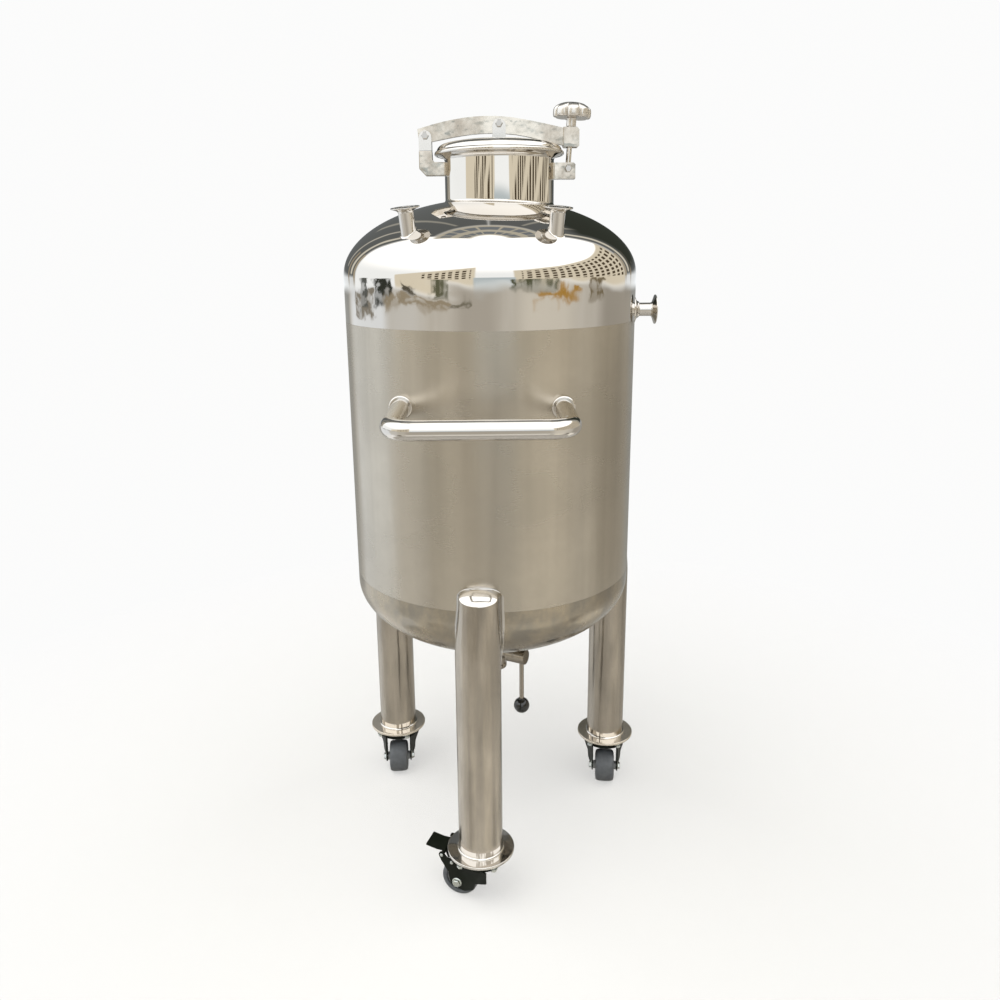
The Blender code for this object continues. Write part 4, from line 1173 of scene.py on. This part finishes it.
class BuildHandle(bpy.types.Operator):
    """Sweeps the push handle along its path and adds its collars at the wall"""

    bl_idname = "tank.build_handle"
    bl_label = "Push handle"

    def execute(self, context):
        handle, vessel = sizes("handle"), sizes("vessel")
        bend, z = handle.bend, handle.height
        flat = [(handle.left, -0.190)]
        flat += arc(handle.left + bend, handle.bar + bend, bend, 180, 270, 20)
        flat += arc(handle.right - bend, handle.bar + bend, bend, 270, 360, 20)
        flat += [(handle.right, -0.190)]
        path = line_mesh("handle_path", [[(x, y, z) for x, y in flat]])
        looks = {"radius": handle.tube, "sides": 64, "finish": finish_of("mirror")}
        tube = grow("push_handle", path, finish_of("bead tree"), **looks)
        parts = [combine(tube, tank_block(0.0), "DIFFERENCE")]
        for x in (handle.left, handle.right):
            y = -math.sqrt(vessel.radius**2 - x * x)
            wide = handle.tube + 0.004
            ring = [(handle.tube - 0.0004, -0.03), (wide, -0.03), (wide, 0.0105)]
            ring += [(wide - 0.0015, 0.0120), (handle.tube - 0.0004, 0.0120)]
            place = Matrix.Translation((x, y, z)) @ ALONG_Y
            ring = lathe("collar", rounded(ring, 0.0008), 96, place)
            parts.append(combine(ring, tank_block(0.0), "DIFFERENCE"))
        piece = join("push_handle_collared", *parts)
        present(piece, "mirror", "tank", ["handle"])
        return {"FINISHED"}


# Legs


def wall_at(y, z):
    """How far the vessel's outside stands from its axis at this Y and Z."""
    vessel = sizes("vessel")
    depth = min(0.0, (z - vessel.tangent_low) / vessel.dish)
    return math.sqrt(vessel.radius**2 * (1.0 - depth * depth) - y * y)


def pinch(z):
    """The leg's section at this height: half width, half depth, middle and sideways
    shift. Near its top the tube is drawn narrower and forward, clear of the wall."""
    leg = sizes("leg")
    share = smooth_share((z - leg.pinch_low) / (leg.top - leg.pinch_low))
    wide = leg.radius + (leg.top_wide - leg.radius) * share
    deep = leg.radius + (leg.top_deep - leg.radius) * share
    return wide, deep, leg.circle + leg.top_shift * share, leg.top_side * share


def leg_saddle(name):
    """The ground weld at azimuth 0 that holds a leg to the wall: up one side of the
    tube, over its top as an arch and down the other side."""
    leg = sizes("leg")
    wide, deep, middle, aside = pinch(leg.top)
    spring, spring_out = leg.top + deep * leg.slope, leg.top - 0.0030
    low, reach, gap = leg.pad_low, leg.pad_wide, 0.0006

    def inward_end(y, z):
        """The wall's x, or less where the pad's tail runs out along the tube."""
        tail = leg.circle - leg.radius * clamped((z - low) / 0.036)
        return max(wall_at(y, z) + 0.0002, tail)

    def section(inner, y_out, z_out):
        """Closed cross-section, hollow from the tube's edge out to the wall."""
        corner = Vector((inward_end(inner.y, inner.z), inner.y, inner.z))
        end = Vector((inward_end(y_out, z_out), y_out, z_out))
        back = Vector((0.0014, 0.0, 0.0))
        inward = (Vector((middle, aside, inner.z - 0.002)) - inner).normalized() * 0.0012
        return bent(inner, corner, end, 12) + [end - back, corner - back, inner + inward]

    def side(way):
        found = []
        for i in range(25):
            z = low + (spring - low) * i / 24
            half, _, x, y = pinch(z)
            out = half + gap + (reach - wide - gap) * smooth_share((z - low) / 0.085)
            z_out = low + (z - low) * (spring_out - low) / (spring - low)
            found.append(section(Vector((x, y + way * (half + 0.0002), z)), y + way * out, z_out))
        return found

    rings = side(1.0)
    for i in range(1, 48):
        turn = math.pi * i / 48
        x = middle - deep * math.sin(turn)
        z = leg.top + (middle + deep - x) * leg.slope
        inner = Vector((x, aside + (wide + 0.0002) * math.cos(turn), z))
        z_out = spring_out + leg.arch * math.sin(turn)
        rings.append(section(inner, aside + reach * math.cos(turn), z_out))
    rings += side(-1.0)[::-1]
    tool = bmesh.new()
    rings = [[tool.verts.new(p) for p in ring] for ring in rings]
    skin(tool, rings, False)
    tool.faces.new(rings[0])
    tool.faces.new(rings[-1][::-1])
    return from_tool(name, tool)


class BuildLegs(bpy.types.Operator):
    """Makes the three tube legs with their caps, pads and foot flanges"""

    bl_idname = "tank.build_legs"
    bl_label = "Legs"

    def execute(self, context):
        leg = sizes("leg")
        stand = Matrix.Translation((leg.circle, 0, 0))
        r, top, sloped = leg.radius, leg.top, 0.06
        heights = [top - (top - leg.pinch_low) * i / 16 for i in range(17)] + [leg.foot_top]
        tube = [(r, z) for z in heights] + [(r - leg.wall, z) for z in heights[::-1]]
        tube = lathe("leg", tube, 112, stand)
        crown = [(0.0, top + 0.0085), (0.010, top + 0.0081), (0.019, top + 0.0068)]
        crown += [(0.027, top + 0.0048), (0.0330, top + 0.0025), (0.0364, top + 0.0006)]
        crown += [(r, top - 0.0009)]
        cap = smooth_line(crown, 5) + [(r - 0.002, top - 0.0009), (r - 0.002, top - 0.0004)]
        cap += [(0.0, top - 0.0004)]
        cap = lathe("cap", cap, 112, stand)
        for piece in (tube, cap):
            for point in piece.data.vertices:
                spot = point.co
                wide, deep, middle, aside = pinch(spot.z)
                spot.x = middle + (spot.x - leg.circle) * deep / r
                spot.y = aside + spot.y * wide / r
                lift = clamped((spot.z - top + sloped) / sloped)
                spot.z += (middle + deep - spot.x) * leg.slope * lift
            combine(piece, tank_block(0.0), "DIFFERENCE")
        pad = leg_saddle("pad")
        foot = [(0.0, leg.foot_top), (leg.foot, leg.foot_top), (leg.foot, leg.foot_low)]
        foot += [(0.0, leg.foot_low)]
        foot = lathe("foot", rounded(foot, 0.0016, 4, False), 144, stand)
        looks = (
            (tube, "leg_tube_", "leg_@", "leg_"),
            (cap, "leg_crown_", "mirror", "leg_cap_"),
            (pad, "saddle_pad_", "pad", "leg_pad_"),
            (foot, "foot_disc_", "foot_@", "foot_flange_"),
        )
        for shape, name, finish, node in looks:
            for corner in CORNERS:
                piece = show(name + corner, shape.data.copy())
                spot = turned_to(getattr(leg, corner))
                present(piece, finish.replace("@", corner), "tank", [node + corner], spot=spot)
            drop(shape)
        return {"FINISHED"}


# Casters


# Where rivets hold the front fork's arms, in X and Z from the swivel at the floor.
ARM_RIVETS = ((0.0625, 0.0805), (0.0440, 0.0700))
# The four nuts under a mounting plate: half their spacing along X and Y, the plate's
# turn in degrees and the height at which they sit.
NUT_X, NUT_Y, PLATE_TURN, NUT_Z = 0.0285, 0.0405, -9.0, 0.0873


class BuildCasters(bpy.types.Operator):
    """Makes the plates, forks, axles and wheels of the three swivel casters"""

    bl_idname = "tank.build_casters"
    bl_label = "Casters"

    def execute(self, context):
        caster = sizes("caster")
        wheel, trail = caster.wheel, caster.trail
        axle_line = Matrix.Translation((trail, 0, wheel)) @ ALONG_Y
        half = [(0.0215, 0.0120), (0.0222, 0.0182), (0.0245, 0.0192), (0.0282, 0.0186)]
        half += [(0.0304, 0.0170), (0.0317, 0.0142), (0.0323, 0.0100), (wheel, 0.0045)]
        tread = rounded(half + [(r, -z) for r, z in reversed(half)], 0.0008, 2)
        core = [(0.0045, 0.0236), (0.0085, 0.0236), (0.0092, 0.0112), (0.0205, 0.0102)]
        core += [(0.0212, 0.0150), (0.0219, 0.0152)]
        core = rounded(core + [(r, -z) for r, z in reversed(core)], 0.0007, 3)
        for corner in CORNERS:
            spot = swivel(corner)
            node = "caster_plate_" + corner
            mount = from_solid("mount_plate_" + corner, node, 0.0005)
            mount = join("mounting_plate_" + corner, mount, plate_nuts(corner))
            present(mount, "zinc", "tank", [node])
            node = "caster_fork_" + corner
            fork = from_solid("fork_cheeks_" + corner, node, 0.0007)
            present(fork, "paint", "fork_" + corner, [node])
            shaft = rod("shaft", 0.004, (trail, -0.0285, wheel), (trail, 0.0285, wheel))
            points = [((trail, s * (caster.cheek + 0.0006), wheel), (0, s, 0)) for s in (-1, 1)]
            heads = heads_at(points, "axle")
            bolt = join("axle_bolt_" + corner, shaft, heads)
            node = "caster_axle_" + corner
            present(bolt, "zinc", "fork_" + corner, [node], spot=spot)
            tyre = lathe("tread_" + corner, tread, 112, axle_line)
            roller = "roller_" + corner
            present(tyre, "tyre", roller, ["wheel_" + corner], spot=spot)
            body = lathe("hub_" + corner, core, 96, axle_line)
            present(body, "hub", roller, spot=spot)
        points = []
        for x, z in ARM_RIVETS:
            points += [((x, side * (caster.cheek + 0.0016), z), (0, side, 0)) for side in (-1, 1)]
        rivets = join("arm_rivets", *[self.rivet(place, way) for place, way in points])
        present(rivets, "zinc", "fork_front", spot=swivel("front"))
        pedal = from_solid("brake_pedal_plate", "brake_pedal", 0.0006)
        present(pedal, "paint", "pedal", ["brake_pedal"])
        return {"FINISHED"}

    def rivet(self, place, way):
        """A low domed rivet head."""
        dome = [(0.0, 0.0010), (0.0014, 0.0009), (0.0025, 0.0005), (0.0032, -0.0004)]
        dome += [(0.0032, -0.0014), (0.0, -0.0014)]
        turn = Vector(way).to_track_quat("Z", "Y").to_matrix().to_4x4()
        return lathe("rivet", dome, 32, Matrix.Translation(place) @ turn)


def plate_nuts(corner):
    """Four nuts under a mounting plate."""
    x, y = leg_place(corner)
    turn = Matrix.Rotation(math.radians(PLATE_TURN), 4, "Z")
    points = []
    for sx in (-1, 1):
        for sy in (-1, 1):
            spot = turn @ Vector((sx * NUT_X, sy * NUT_Y, 0.0))
            points.append(((x + spot.x, y + spot.y, NUT_Z), (0, 0, -1)))
    return heads_at(points, "nut")


# Outlet and valve


class BuildOutlet(bpy.types.Operator):
    """Makes the bottom outlet, the butterfly valve and its ball lever"""

    bl_idname = "tank.build_outlet"
    bl_label = "Outlet and valve"

    def execute(self, context):
        outlet = sizes("outlet")
        top, low = outlet.body_top, outlet.body_low
        stub = [(outlet.stub, 0.3860), (outlet.stub, top + 0.0045), (outlet.body, top + 0.0028)]
        stub += [(outlet.body, top + 0.0003), (outlet.bore, top + 0.0003), (outlet.bore, 0.3860)]
        stub = lathe("outlet_pipe", rounded(stub, 0.0006), 112)
        present(stub, "fitting", "tank", ["outlet_stub"])
        wide = outlet.body
        body = [(wide, top), (wide, top - 0.0028), (0.0235, top - 0.0045), (0.0235, low + 0.0090)]
        body += [(wide, low + 0.0060), (wide, low), (outlet.bore, low), (outlet.bore, top)]
        body = lathe("valve_case", rounded(body, 0.0006), 112)
        way = Vector((math.cos(outlet.stem), math.sin(outlet.stem), 0.0))
        axis = Vector((0.0, 0.0, outlet.stem_z))
        boss = rod("boss", 0.0100, axis + way * 0.0190, axis + way * 0.0285)
        combine(body, boss, "UNION")
        present(body, "fitting", "tank", ["valve_body"])

        spot = Matrix.Translation(axis) @ Matrix.Rotation(outlet.stem, 4, "Z")
        stem = [(0.0, 0.0690), (0.0143, 0.0690), (0.0143, 0.0475), (0.0133, 0.0468)]
        stem += [(0.0133, 0.0460), (0.0143, 0.0453), (0.0143, 0.0307), (0.0, 0.0307)]
        hub = lathe("lever_hub", rounded(stem, 0.0006, 3, False), 96, ALONG_X)
        present(hub, "fitting", "valve_lever", ["valve_hub"], spot=spot)
        profile = [(0.0, 0.0014), (0.0170, 0.0014), (0.0170, -0.0014), (0.0, -0.0014)]
        flap = lathe("flap", rounded(profile, 0.0006, 3, False), 96, ALONG_Y)
        shaft = rod("shaft", 0.0040, (0.0, 0, 0), (0.0304, 0, 0))
        flap = join("valve_flap", flap, shaft)
        present(flap, "fitting", "valve_lever", ["valve_disc"], spot=spot)
        drop_z = outlet.ball_z - outlet.stem_z
        x = outlet.lever_at
        bar = rod("lever_bar", 0.0044, (x, 0, drop_z + 0.008), (x, 0, -0.0055))
        present(bar, "fitting", "valve_lever", ["lever_rod"], spot=spot)
        turns = [math.radians(-90 + 180 * i / 48) for i in range(49)]
        ball = [(outlet.ball * math.cos(t), outlet.ball * math.sin(t)) for t in turns]
        neck = [(0.0062, 0.0142), (0.0060, 0.0150), (0.0047, 0.0150), (0.0047, 0.0072)]
        ball = [p for p in ball if p[0] > 0.0062 or p[1] < 0] + neck + [(0.0, 0.0072)]
        ball[0] = (0.0, -outlet.ball)
        place = Matrix.Translation((x, 0, drop_z))
        grip = lathe("ball_grip", ball, 96, place)
        present(grip, "ball", "valve_lever", ["lever_ball"], spot=spot)
        return {"FINISHED"}


# Welds


# Where the hinge's lug and the bolt's lug meet the neck: the side it is on, the lower
# and upper end of the weld, and half the lug's thickness.
LUG_JOINTS = ((-1, 1.2106, 1.2308, 0.0098), (1, 1.2036, 1.2286, 0.0112))


class BuildWelds(bpy.types.Operator):
    """Lays the dressed weld fillets where pipes, lugs and feet are joined on"""

    bl_idname = "tank.build_welds"
    bl_label = "Weld fillets"

    def execute(self, context):
        manway, leg, outlet = sizes("manway"), sizes("leg"), sizes("outlet")
        vessel = sizes("vessel")
        centre = Vector((manway.offset, 0.0, dome_height(manway.offset, 0.0)))
        self.fillet("neck_fillet", centre, Vector((0, 0, 1)), manway.neck, 0.0040)
        for side in ("left", "right"):
            base, way = ferrule_line(side)
            self.fillet("ferrule_fillet_" + side, base, way, sizes("fitting").pipe, 0.0024)
        rings = []
        for corner in CORNERS:
            x, y = leg_place(corner)
            rings.append([(*spot, leg.foot_top) for spot in arc(x, y, leg.radius, 0, 360, 96)])
        groups = [("feet", rings, 0.0030, "mirror")]
        beads = []
        for x_sign, low, high, half in LUG_JOINTS:
            for side in (-1, 1):
                x = manway.offset + x_sign * math.sqrt(manway.neck**2 - half * half)
                steps = [low + (high - low) * i / 12 for i in range(13)]
                beads.append([(x, side * half, z) for z in steps])
        groups.append(("lugs", beads, 0.0014, "plate"))
        z = vessel.tangent_low - vessel.dish * math.sqrt(1 - (outlet.stub / vessel.radius) ** 2)
        ring = [(*spot, z) for spot in arc(0.0, 0.0, outlet.stub, 0, 360, 96)]
        groups.append(("outlet", [ring], 0.0016, "lower"))
        for name, lines, radius, finish in groups:
            looks = {"radius": radius, "sides": 16, "finish": finish_of(finish)}
            path = line_mesh("path", lines)
            bead = grow("weld_" + name, path, finish_of("bead tree"), **looks)
            present(bead, finish, "tank", weighted=False, sharp=50.0)
        return {"FINISHED"}

    def fillet(self, name, base, way, radius, reach):
        """A hollow fillet, ground smooth, where a round wall stands on the dome."""
        first = way.orthogonal().normalized()
        second = way.cross(first)
        tool = bmesh.new()
        rings = []
        for i in range(120):
            turn = 2 * math.pi * i / 120
            out = first * math.cos(turn) + second * math.sin(turn)

            def foot(distance):
                spot = base + out * distance
                for _ in range(12):
                    spot += way * (dome_height(spot.x, spot.y) - spot.z) * 0.9
                return spot

            corner, end = foot(radius), foot(radius + reach)
            start = corner + way * reach
            line = bent(start, corner, end, 8)
            line += [end - way * 0.0005, corner - (out + way) * 0.0005, start - out * 0.0005]
            rings.append([tool.verts.new(p) for p in line])
        skin(tool, rings, True)
        piece = from_tool(name, tool)
        present(piece, "mirror", "tank")


# Stage


# The studio's panels, by azimuth from the camera's side to the right and by height
# above the horizon, both in degrees. Every row ends with a tone and its level.
FLOOR_EDGE = -48.0
# From, to and softness.
FLOOR_PANELS = (
    (-138.0, -84.0, 8.0, "#E4E8EC", 1.30),
    (-84.0, -54.0, 9.0, "#DFDDD8", 1.02),
    (-26.0, 6.0, 8.0, "#C2BCB1", 1.0),
    (22.0, 66.0, 10.0, "#E2DCD0", 1.05),
    (92.0, 150.0, 10.0, "#B5AFA4", 0.95),
)
# Bright and dark bands low down, that the legs pick up as streaks: from and to.
LOW_BANDS = (
    (-150.0, -78.0, "#FAFBFC", 1.2),
    (-62.0, -46.0, "#776A57", 0.8),
    (-30.0, 6.0, "#E8E4DC", 1.05),
    (24.0, 60.0, "#EDE6D6", 1.1),
    (72.0, 90.0, "#776A57", 0.8),
    (90.0, 120.0, "#F2EEE4", 1.2),
)
# Side walls: from, to, slope and height of the top, pitch of the openings.
SIDE_WALLS = (
    (-76.0, -11.0, 0.33, 33.0, 5.4, "#E3DAC6", 1.25),
    (18.0, 127.0, 0.17, 17.5, 6.6, "#E1D8C4", 1.22),
)
# Odd dark, green and ochre things low along the horizon: from, to, lower and upper edge.
LOW_THINGS = (
    (-44.0, -30.0, -2.7, -1.9, "#77785F", 0.8),
    (14.0, 52.0, -2.7, -2.0, "#66694E", 0.8),
    (-128.0, -100.0, -4.4, -2.6, "#A09A8E", 0.9),
    (-116.0, -108.0, -3.9, -0.6, "#6E716E", 0.9),
    (-98.0, -80.0, -3.6, -0.8, "#43463F", 0.8),
    (-88.0, -30.0, -3.9, -3.0, "#B3A68F", 0.9),
    (-72.0, -58.0, -2.9, -2.0, "#6B6557", 0.8),
    (34.0, 70.0, -3.4, -2.75, "#C79A4C", 0.9),
    (80.0, 96.0, -3.2, -1.9, "#8C7F66", 0.9),
    (-30.0, -14.0, -3.5, -3.1, "#8A8474", 0.9),
)
# The dark back, with a paler cornice of lights and a few bright edges: from, to,
# lower and upper edge, softness.
BACK_PANELS = (
    (127.0, 181.0, -1.0, 65.0, 3.0, "#6A6D6D", 1.0),
    (118.0, 181.0, 64.0, 81.0, 1.5, "#CFC9B8", 1.0),
    (133.0, 136.0, 2.0, 60.0, 1.0, "#E4DFD0", 1.1),
    (146.0, 148.0, 6.0, 52.0, 0.8, "#C9C5BA", 1.0),
    (159.0, 161.0, 20.0, 60.0, 0.8, "#A9A79E", 1.0),
    (127.0, 130.5, -2.0, 24.0, 0.6, "#B9AE99", 1.0),
    (139.0, 142.0, -2.0, 20.0, 0.6, "#A69A86", 1.0),
)


def studio_world(world):
    """A plain soft studio: bright ceiling, pale floor beyond the set, cream side walls
    and a darker back, as broad soft-edged panels. The camera itself sees plain white."""
    world.use_nodes = True
    tree = world.node_tree
    tree.nodes.clear()
    way = add_node(tree, "ShaderNodeTexCoord")
    part = add_node(tree, "ShaderNodeSeparateXYZ", {0: way.outputs["Generated"]})
    x, y, z = part.outputs
    azimuth = maths(tree, "ARCTAN2", x, maths(tree, "MULTIPLY", y, -1.0))
    away = maths(tree, "ABSOLUTE", azimuth)
    rise = maths(tree, "ARCSINE", z)

    def step(value, at, soft, up=True):
        at, soft = math.radians(at), math.radians(soft)
        ends = (0.0, 1.0) if up else (1.0, 0.0)
        sockets = {"Value": value, "From Min": at - soft, "From Max": at + soft}
        sockets.update({"To Min": ends[0], "To Max": ends[1]})
        found = add_node(tree, "ShaderNodeMapRange", sockets, interpolation_type="SMOOTHSTEP")
        return found.outputs[0]

    def both(a, b):
        return maths(tree, "MULTIPLY", a, b)

    def lay(below, mask, code, level):
        tone = shade(linear(code), level)
        sockets = {0: mask, 7: (*tone, 1.0)}
        sockets[6] = below if isinstance(below, bpy.types.NodeSocket) else (*below, 1.0)
        return add_node(tree, "ShaderNodeMix", sockets, data_type="RGBA").outputs[2]

    def slanted(slope):
        return maths(tree, "MULTIPLY_ADD", azimuth, -slope, rise)

    def cells(value, pitch, share):
        """Soft-edged stripes at this pitch in degrees, filled to this share."""
        half = math.radians(pitch) / 2
        wave = maths(tree, "PINGPONG", value, half)
        edge, soft = half * (1.0 - share), half * 0.12
        sockets = {"Value": wave, "From Min": edge - soft, "From Max": edge + soft}
        return add_node(tree, "ShaderNodeMapRange", sockets).outputs[0]

    def window(value, start, end, soft):
        return both(step(value, start, soft), step(value, end, soft, False))

    # The floor beyond the set: warm grey, cooler and brighter at the left.
    sockets = {"Vector": way.outputs["Generated"], "Scale": 5.0, "Detail": 4.0}
    spots = add_node(tree, "ShaderNodeTexNoise", sockets).outputs["Fac"]
    look = lay(linear("#CFCABF"), ranged(tree, spots, 0.0, 0.8), "#E0DBD2", 1.0)
    for start, end, soft, code, level in FLOOR_PANELS:
        wide = window(azimuth, start, end, soft)
        look = lay(look, both(wide, step(rise, FLOOR_EDGE, 10.0)), code, level)
    look = lay(look, window(away, 142.0, 200.0, 6.0), "#AFAFAB", 0.9)
    look = lay(look, step(rise, FLOOR_EDGE, 12.0, False), "#8C8376", 0.75)
    low_band = window(rise, -50.0, -35.0, 1.5)
    for start, end, code, level in LOW_BANDS:
        look = lay(look, both(window(azimuth, start, end, 1.0), low_band), code, level)
    look = lay(look, step(rise, -2.5, 0.3), "#EDF1F4", 1.5)
    look = lay(look, step(rise, 22.0, 12.0), "#FAFBFC", 1.95)
    for start, end, slope, top, pitch, code, level in SIDE_WALLS:
        wall = both(window(azimuth, start, end, 1.0), step(slanted(slope), top, 1.0, False))
        wall = both(wall, step(rise, -2.4, 0.3))
        look = lay(look, wall, code, level)
        low_az = start + 24.0 if start < 0 else start + 6.0
        holes = both(window(azimuth, low_az, end - 3.0, 0.6), window(rise, -0.8, 60.0, 0.6))
        holes = both(holes, step(slanted(slope), top - 3.5, 0.6, False))
        holes = both(holes, both(cells(azimuth, pitch, 0.56), cells(slanted(slope), 5.6, 0.66)))
        look = lay(look, holes, "#5E503D", 0.8)
    low_sky = both(window(azimuth, -12.0, 19.0, 1.0), window(rise, -2.4, 3.2, 0.5))
    look = lay(look, low_sky, "#C4D0D6", 1.15)
    # Noise breaks up the outlines and tones of the things along the horizon.
    sockets = {"Vector": way.outputs["Generated"], "Scale": (1.0, 1.0, 14.0)}
    sockets = {"Vector": add_node(tree, "ShaderNodeMapping", sockets).outputs[0]}
    sockets.update({"Scale": 7.0, "Detail": 4.0})
    found = add_node(tree, "ShaderNodeTexNoise", sockets).outputs["Fac"]
    shaken = maths(tree, "ADD", azimuth, ranged(tree, found, -0.07, 0.07))
    heaved = maths(tree, "ADD", rise, ranged(tree, found, -0.006, 0.006))
    patchy = ranged(tree, found, 1.0, 0.5, 0.50, 0.58)
    for start, end, low, high, code, level in LOW_THINGS:
        mask = both(window(shaken, start, end, 1.5), window(heaved, low, high, 0.15))
        look = lay(look, both(mask, patchy), code, level)
    for start, end, low, high, soft, code, level in BACK_PANELS:
        mask = both(window(away, start, end, soft), window(rise, low, high, soft))
        look = lay(look, mask, code, level)
    mask = both(window(azimuth, 138.0, 181.0, 4.0), window(rise, 4.0, 46.0, 5.0))
    look = lay(look, mask, "#3B3F38", 0.9)
    for low, high in ((66.5, 71.5), (75.0, 79.0)):
        mask = both(window(away, 122.0, 181.0, 1.0), window(rise, low, high, 0.5))
        look = lay(look, both(mask, cells(away, 13.0, 0.82)), "#8A9096", 0.9)
    seen = add_node(tree, "ShaderNodeLightPath").outputs["Is Camera Ray"]
    sockets = {0: seen, 6: look, 7: (0.97, 0.97, 0.967, 1.0)}
    tone = add_node(tree, "ShaderNodeMix", sockets, data_type="RGBA").outputs[2]
    glow = add_node(tree, "ShaderNodeBackground", {"Color": tone, "Strength": 1.0})
    add_node(tree, "ShaderNodeOutputWorld", {"Surface": glow.outputs[0]})


def floor_finish(tone, radius, film):
    """Pale paper, matt and thin, that fades out well away from the object."""
    mat, tree, shader = new_finish("seamless_paper", tone, 0.0, 0.85)
    shader.inputs["Specular IOR Level"].default_value = 0.2
    spot = add_node(tree, "ShaderNodeTexCoord")
    far = add_node(
        tree, "ShaderNodeVectorMath", {0: spot.outputs["Object"]}, operation="LENGTH"
    )
    fade = ranged(tree, far.outputs["Value"], film, 0.0, radius * 0.3, radius)
    tree.links.new(fade, shader.inputs["Alpha"])
    return mat


class BuildStage(bpy.types.Operator):
    """Sets the pale floor, the soft light and the camera"""

    bl_idname = "tank.build_stage"
    bl_label = "Stage"

    def execute(self, context):
        stage = sizes("stage")
        scene = context.scene
        floor = lathe("floor", [(0.0, 0.0), (stage.floor_size * 1.02, 0.0), (0.0, -0.001)], 96)
        floor.data.materials.append(floor_finish(tuple(stage.floor), stage.floor_size, stage.film))
        floor.location = (0.0, 0.0, -0.0005)

        world = scene.world or bpy.data.worlds.new("studio")
        scene.world = world
        studio_world(world)
        light = bpy.data.lights.new("soft_ceiling", "AREA")
        light.shape = "DISK"
        light.size = 2.6
        light.energy = stage.key
        lamp = show("soft_ceiling", light)
        lamp.visible_glossy = False
        lamp.location = (-0.9, -1.2, 3.4)
        aim = Vector((0.0, 0.0, 0.6)) - lamp.location
        lamp.rotation_euler = aim.to_track_quat("-Z", "Y").to_euler()

        lens = bpy.data.cameras.new("view")
        lens.sensor_width = 36.0
        lens.lens = stage.lens * 1000.0
        lens.shift_x, lens.shift_y = stage.shift_x, stage.shift_y
        camera = show("view", lens)
        pitch, yaw, roll = stage.pitch, stage.yaw, stage.roll
        ahead = Vector(
            (math.sin(yaw) * math.cos(pitch), math.cos(yaw) * math.cos(pitch), -math.sin(pitch))
        )
        right = Vector((math.cos(yaw), -math.sin(yaw), 0.0))
        up = right.cross(ahead)
        side = right * math.cos(roll) + up * math.sin(roll)
        top = up * math.cos(roll) - right * math.sin(roll)
        turn = Matrix((side, top, -ahead)).transposed().to_4x4()
        stand = Matrix.Translation((AXIS.x, AXIS.y - stage.distance, stage.height))
        camera.matrix_world = stand @ turn
        scene.camera = camera
        scene.view_settings.view_transform = "Standard"
        return {"FINISHED"}


OPERATORS = (
    BuildVessel,
    BuildManway,
    BuildClamp,
    BuildSwingBolt,
    BuildFittings,
    BuildHandle,
    BuildLegs,
    BuildCasters,
    BuildOutlet,
    BuildWelds,
    BuildStage,
)


class TankPanel(bpy.types.Panel):
    """Lists the operators that build the tank, piece by piece"""

    bl_idname = "VIEW3D_PT_tank"
    bl_label = "Storage tank"
    bl_space_type = "VIEW_3D"
    bl_region_type = "UI"
    bl_category = "Tank"

    def draw(self, context):
        for group in GROUPS:
            owner = sizes(group)
            box = self.layout.box()
            box.label(text=group.title())
            for key in owner.__annotations__:
                box.prop(owner, key)
        for operator in OPERATORS:
            self.layout.operator(operator.bl_idname)


def register():
    for group, owner in GROUPS.items():
        bpy.utils.register_class(owner)
        setattr(bpy.types.Scene, "tank_" + group, PointerProperty(type=owner))
    for operator in (*OPERATORS, TankPanel):
        bpy.utils.register_class(operator)


def unregister():
    for operator in reversed((*OPERATORS, TankPanel)):
        bpy.utils.unregister_class(operator)
    MADE.clear()
    for group, owner in GROUPS.items():
        delattr(bpy.types.Scene, "tank_" + group)
        bpy.utils.unregister_class(owner)


def main():
    register()
    for operator in OPERATORS:
        group, name = operator.bl_idname.split(".")
        getattr(getattr(bpy.ops, group), name)()


if __name__ == "__main__":
    main()
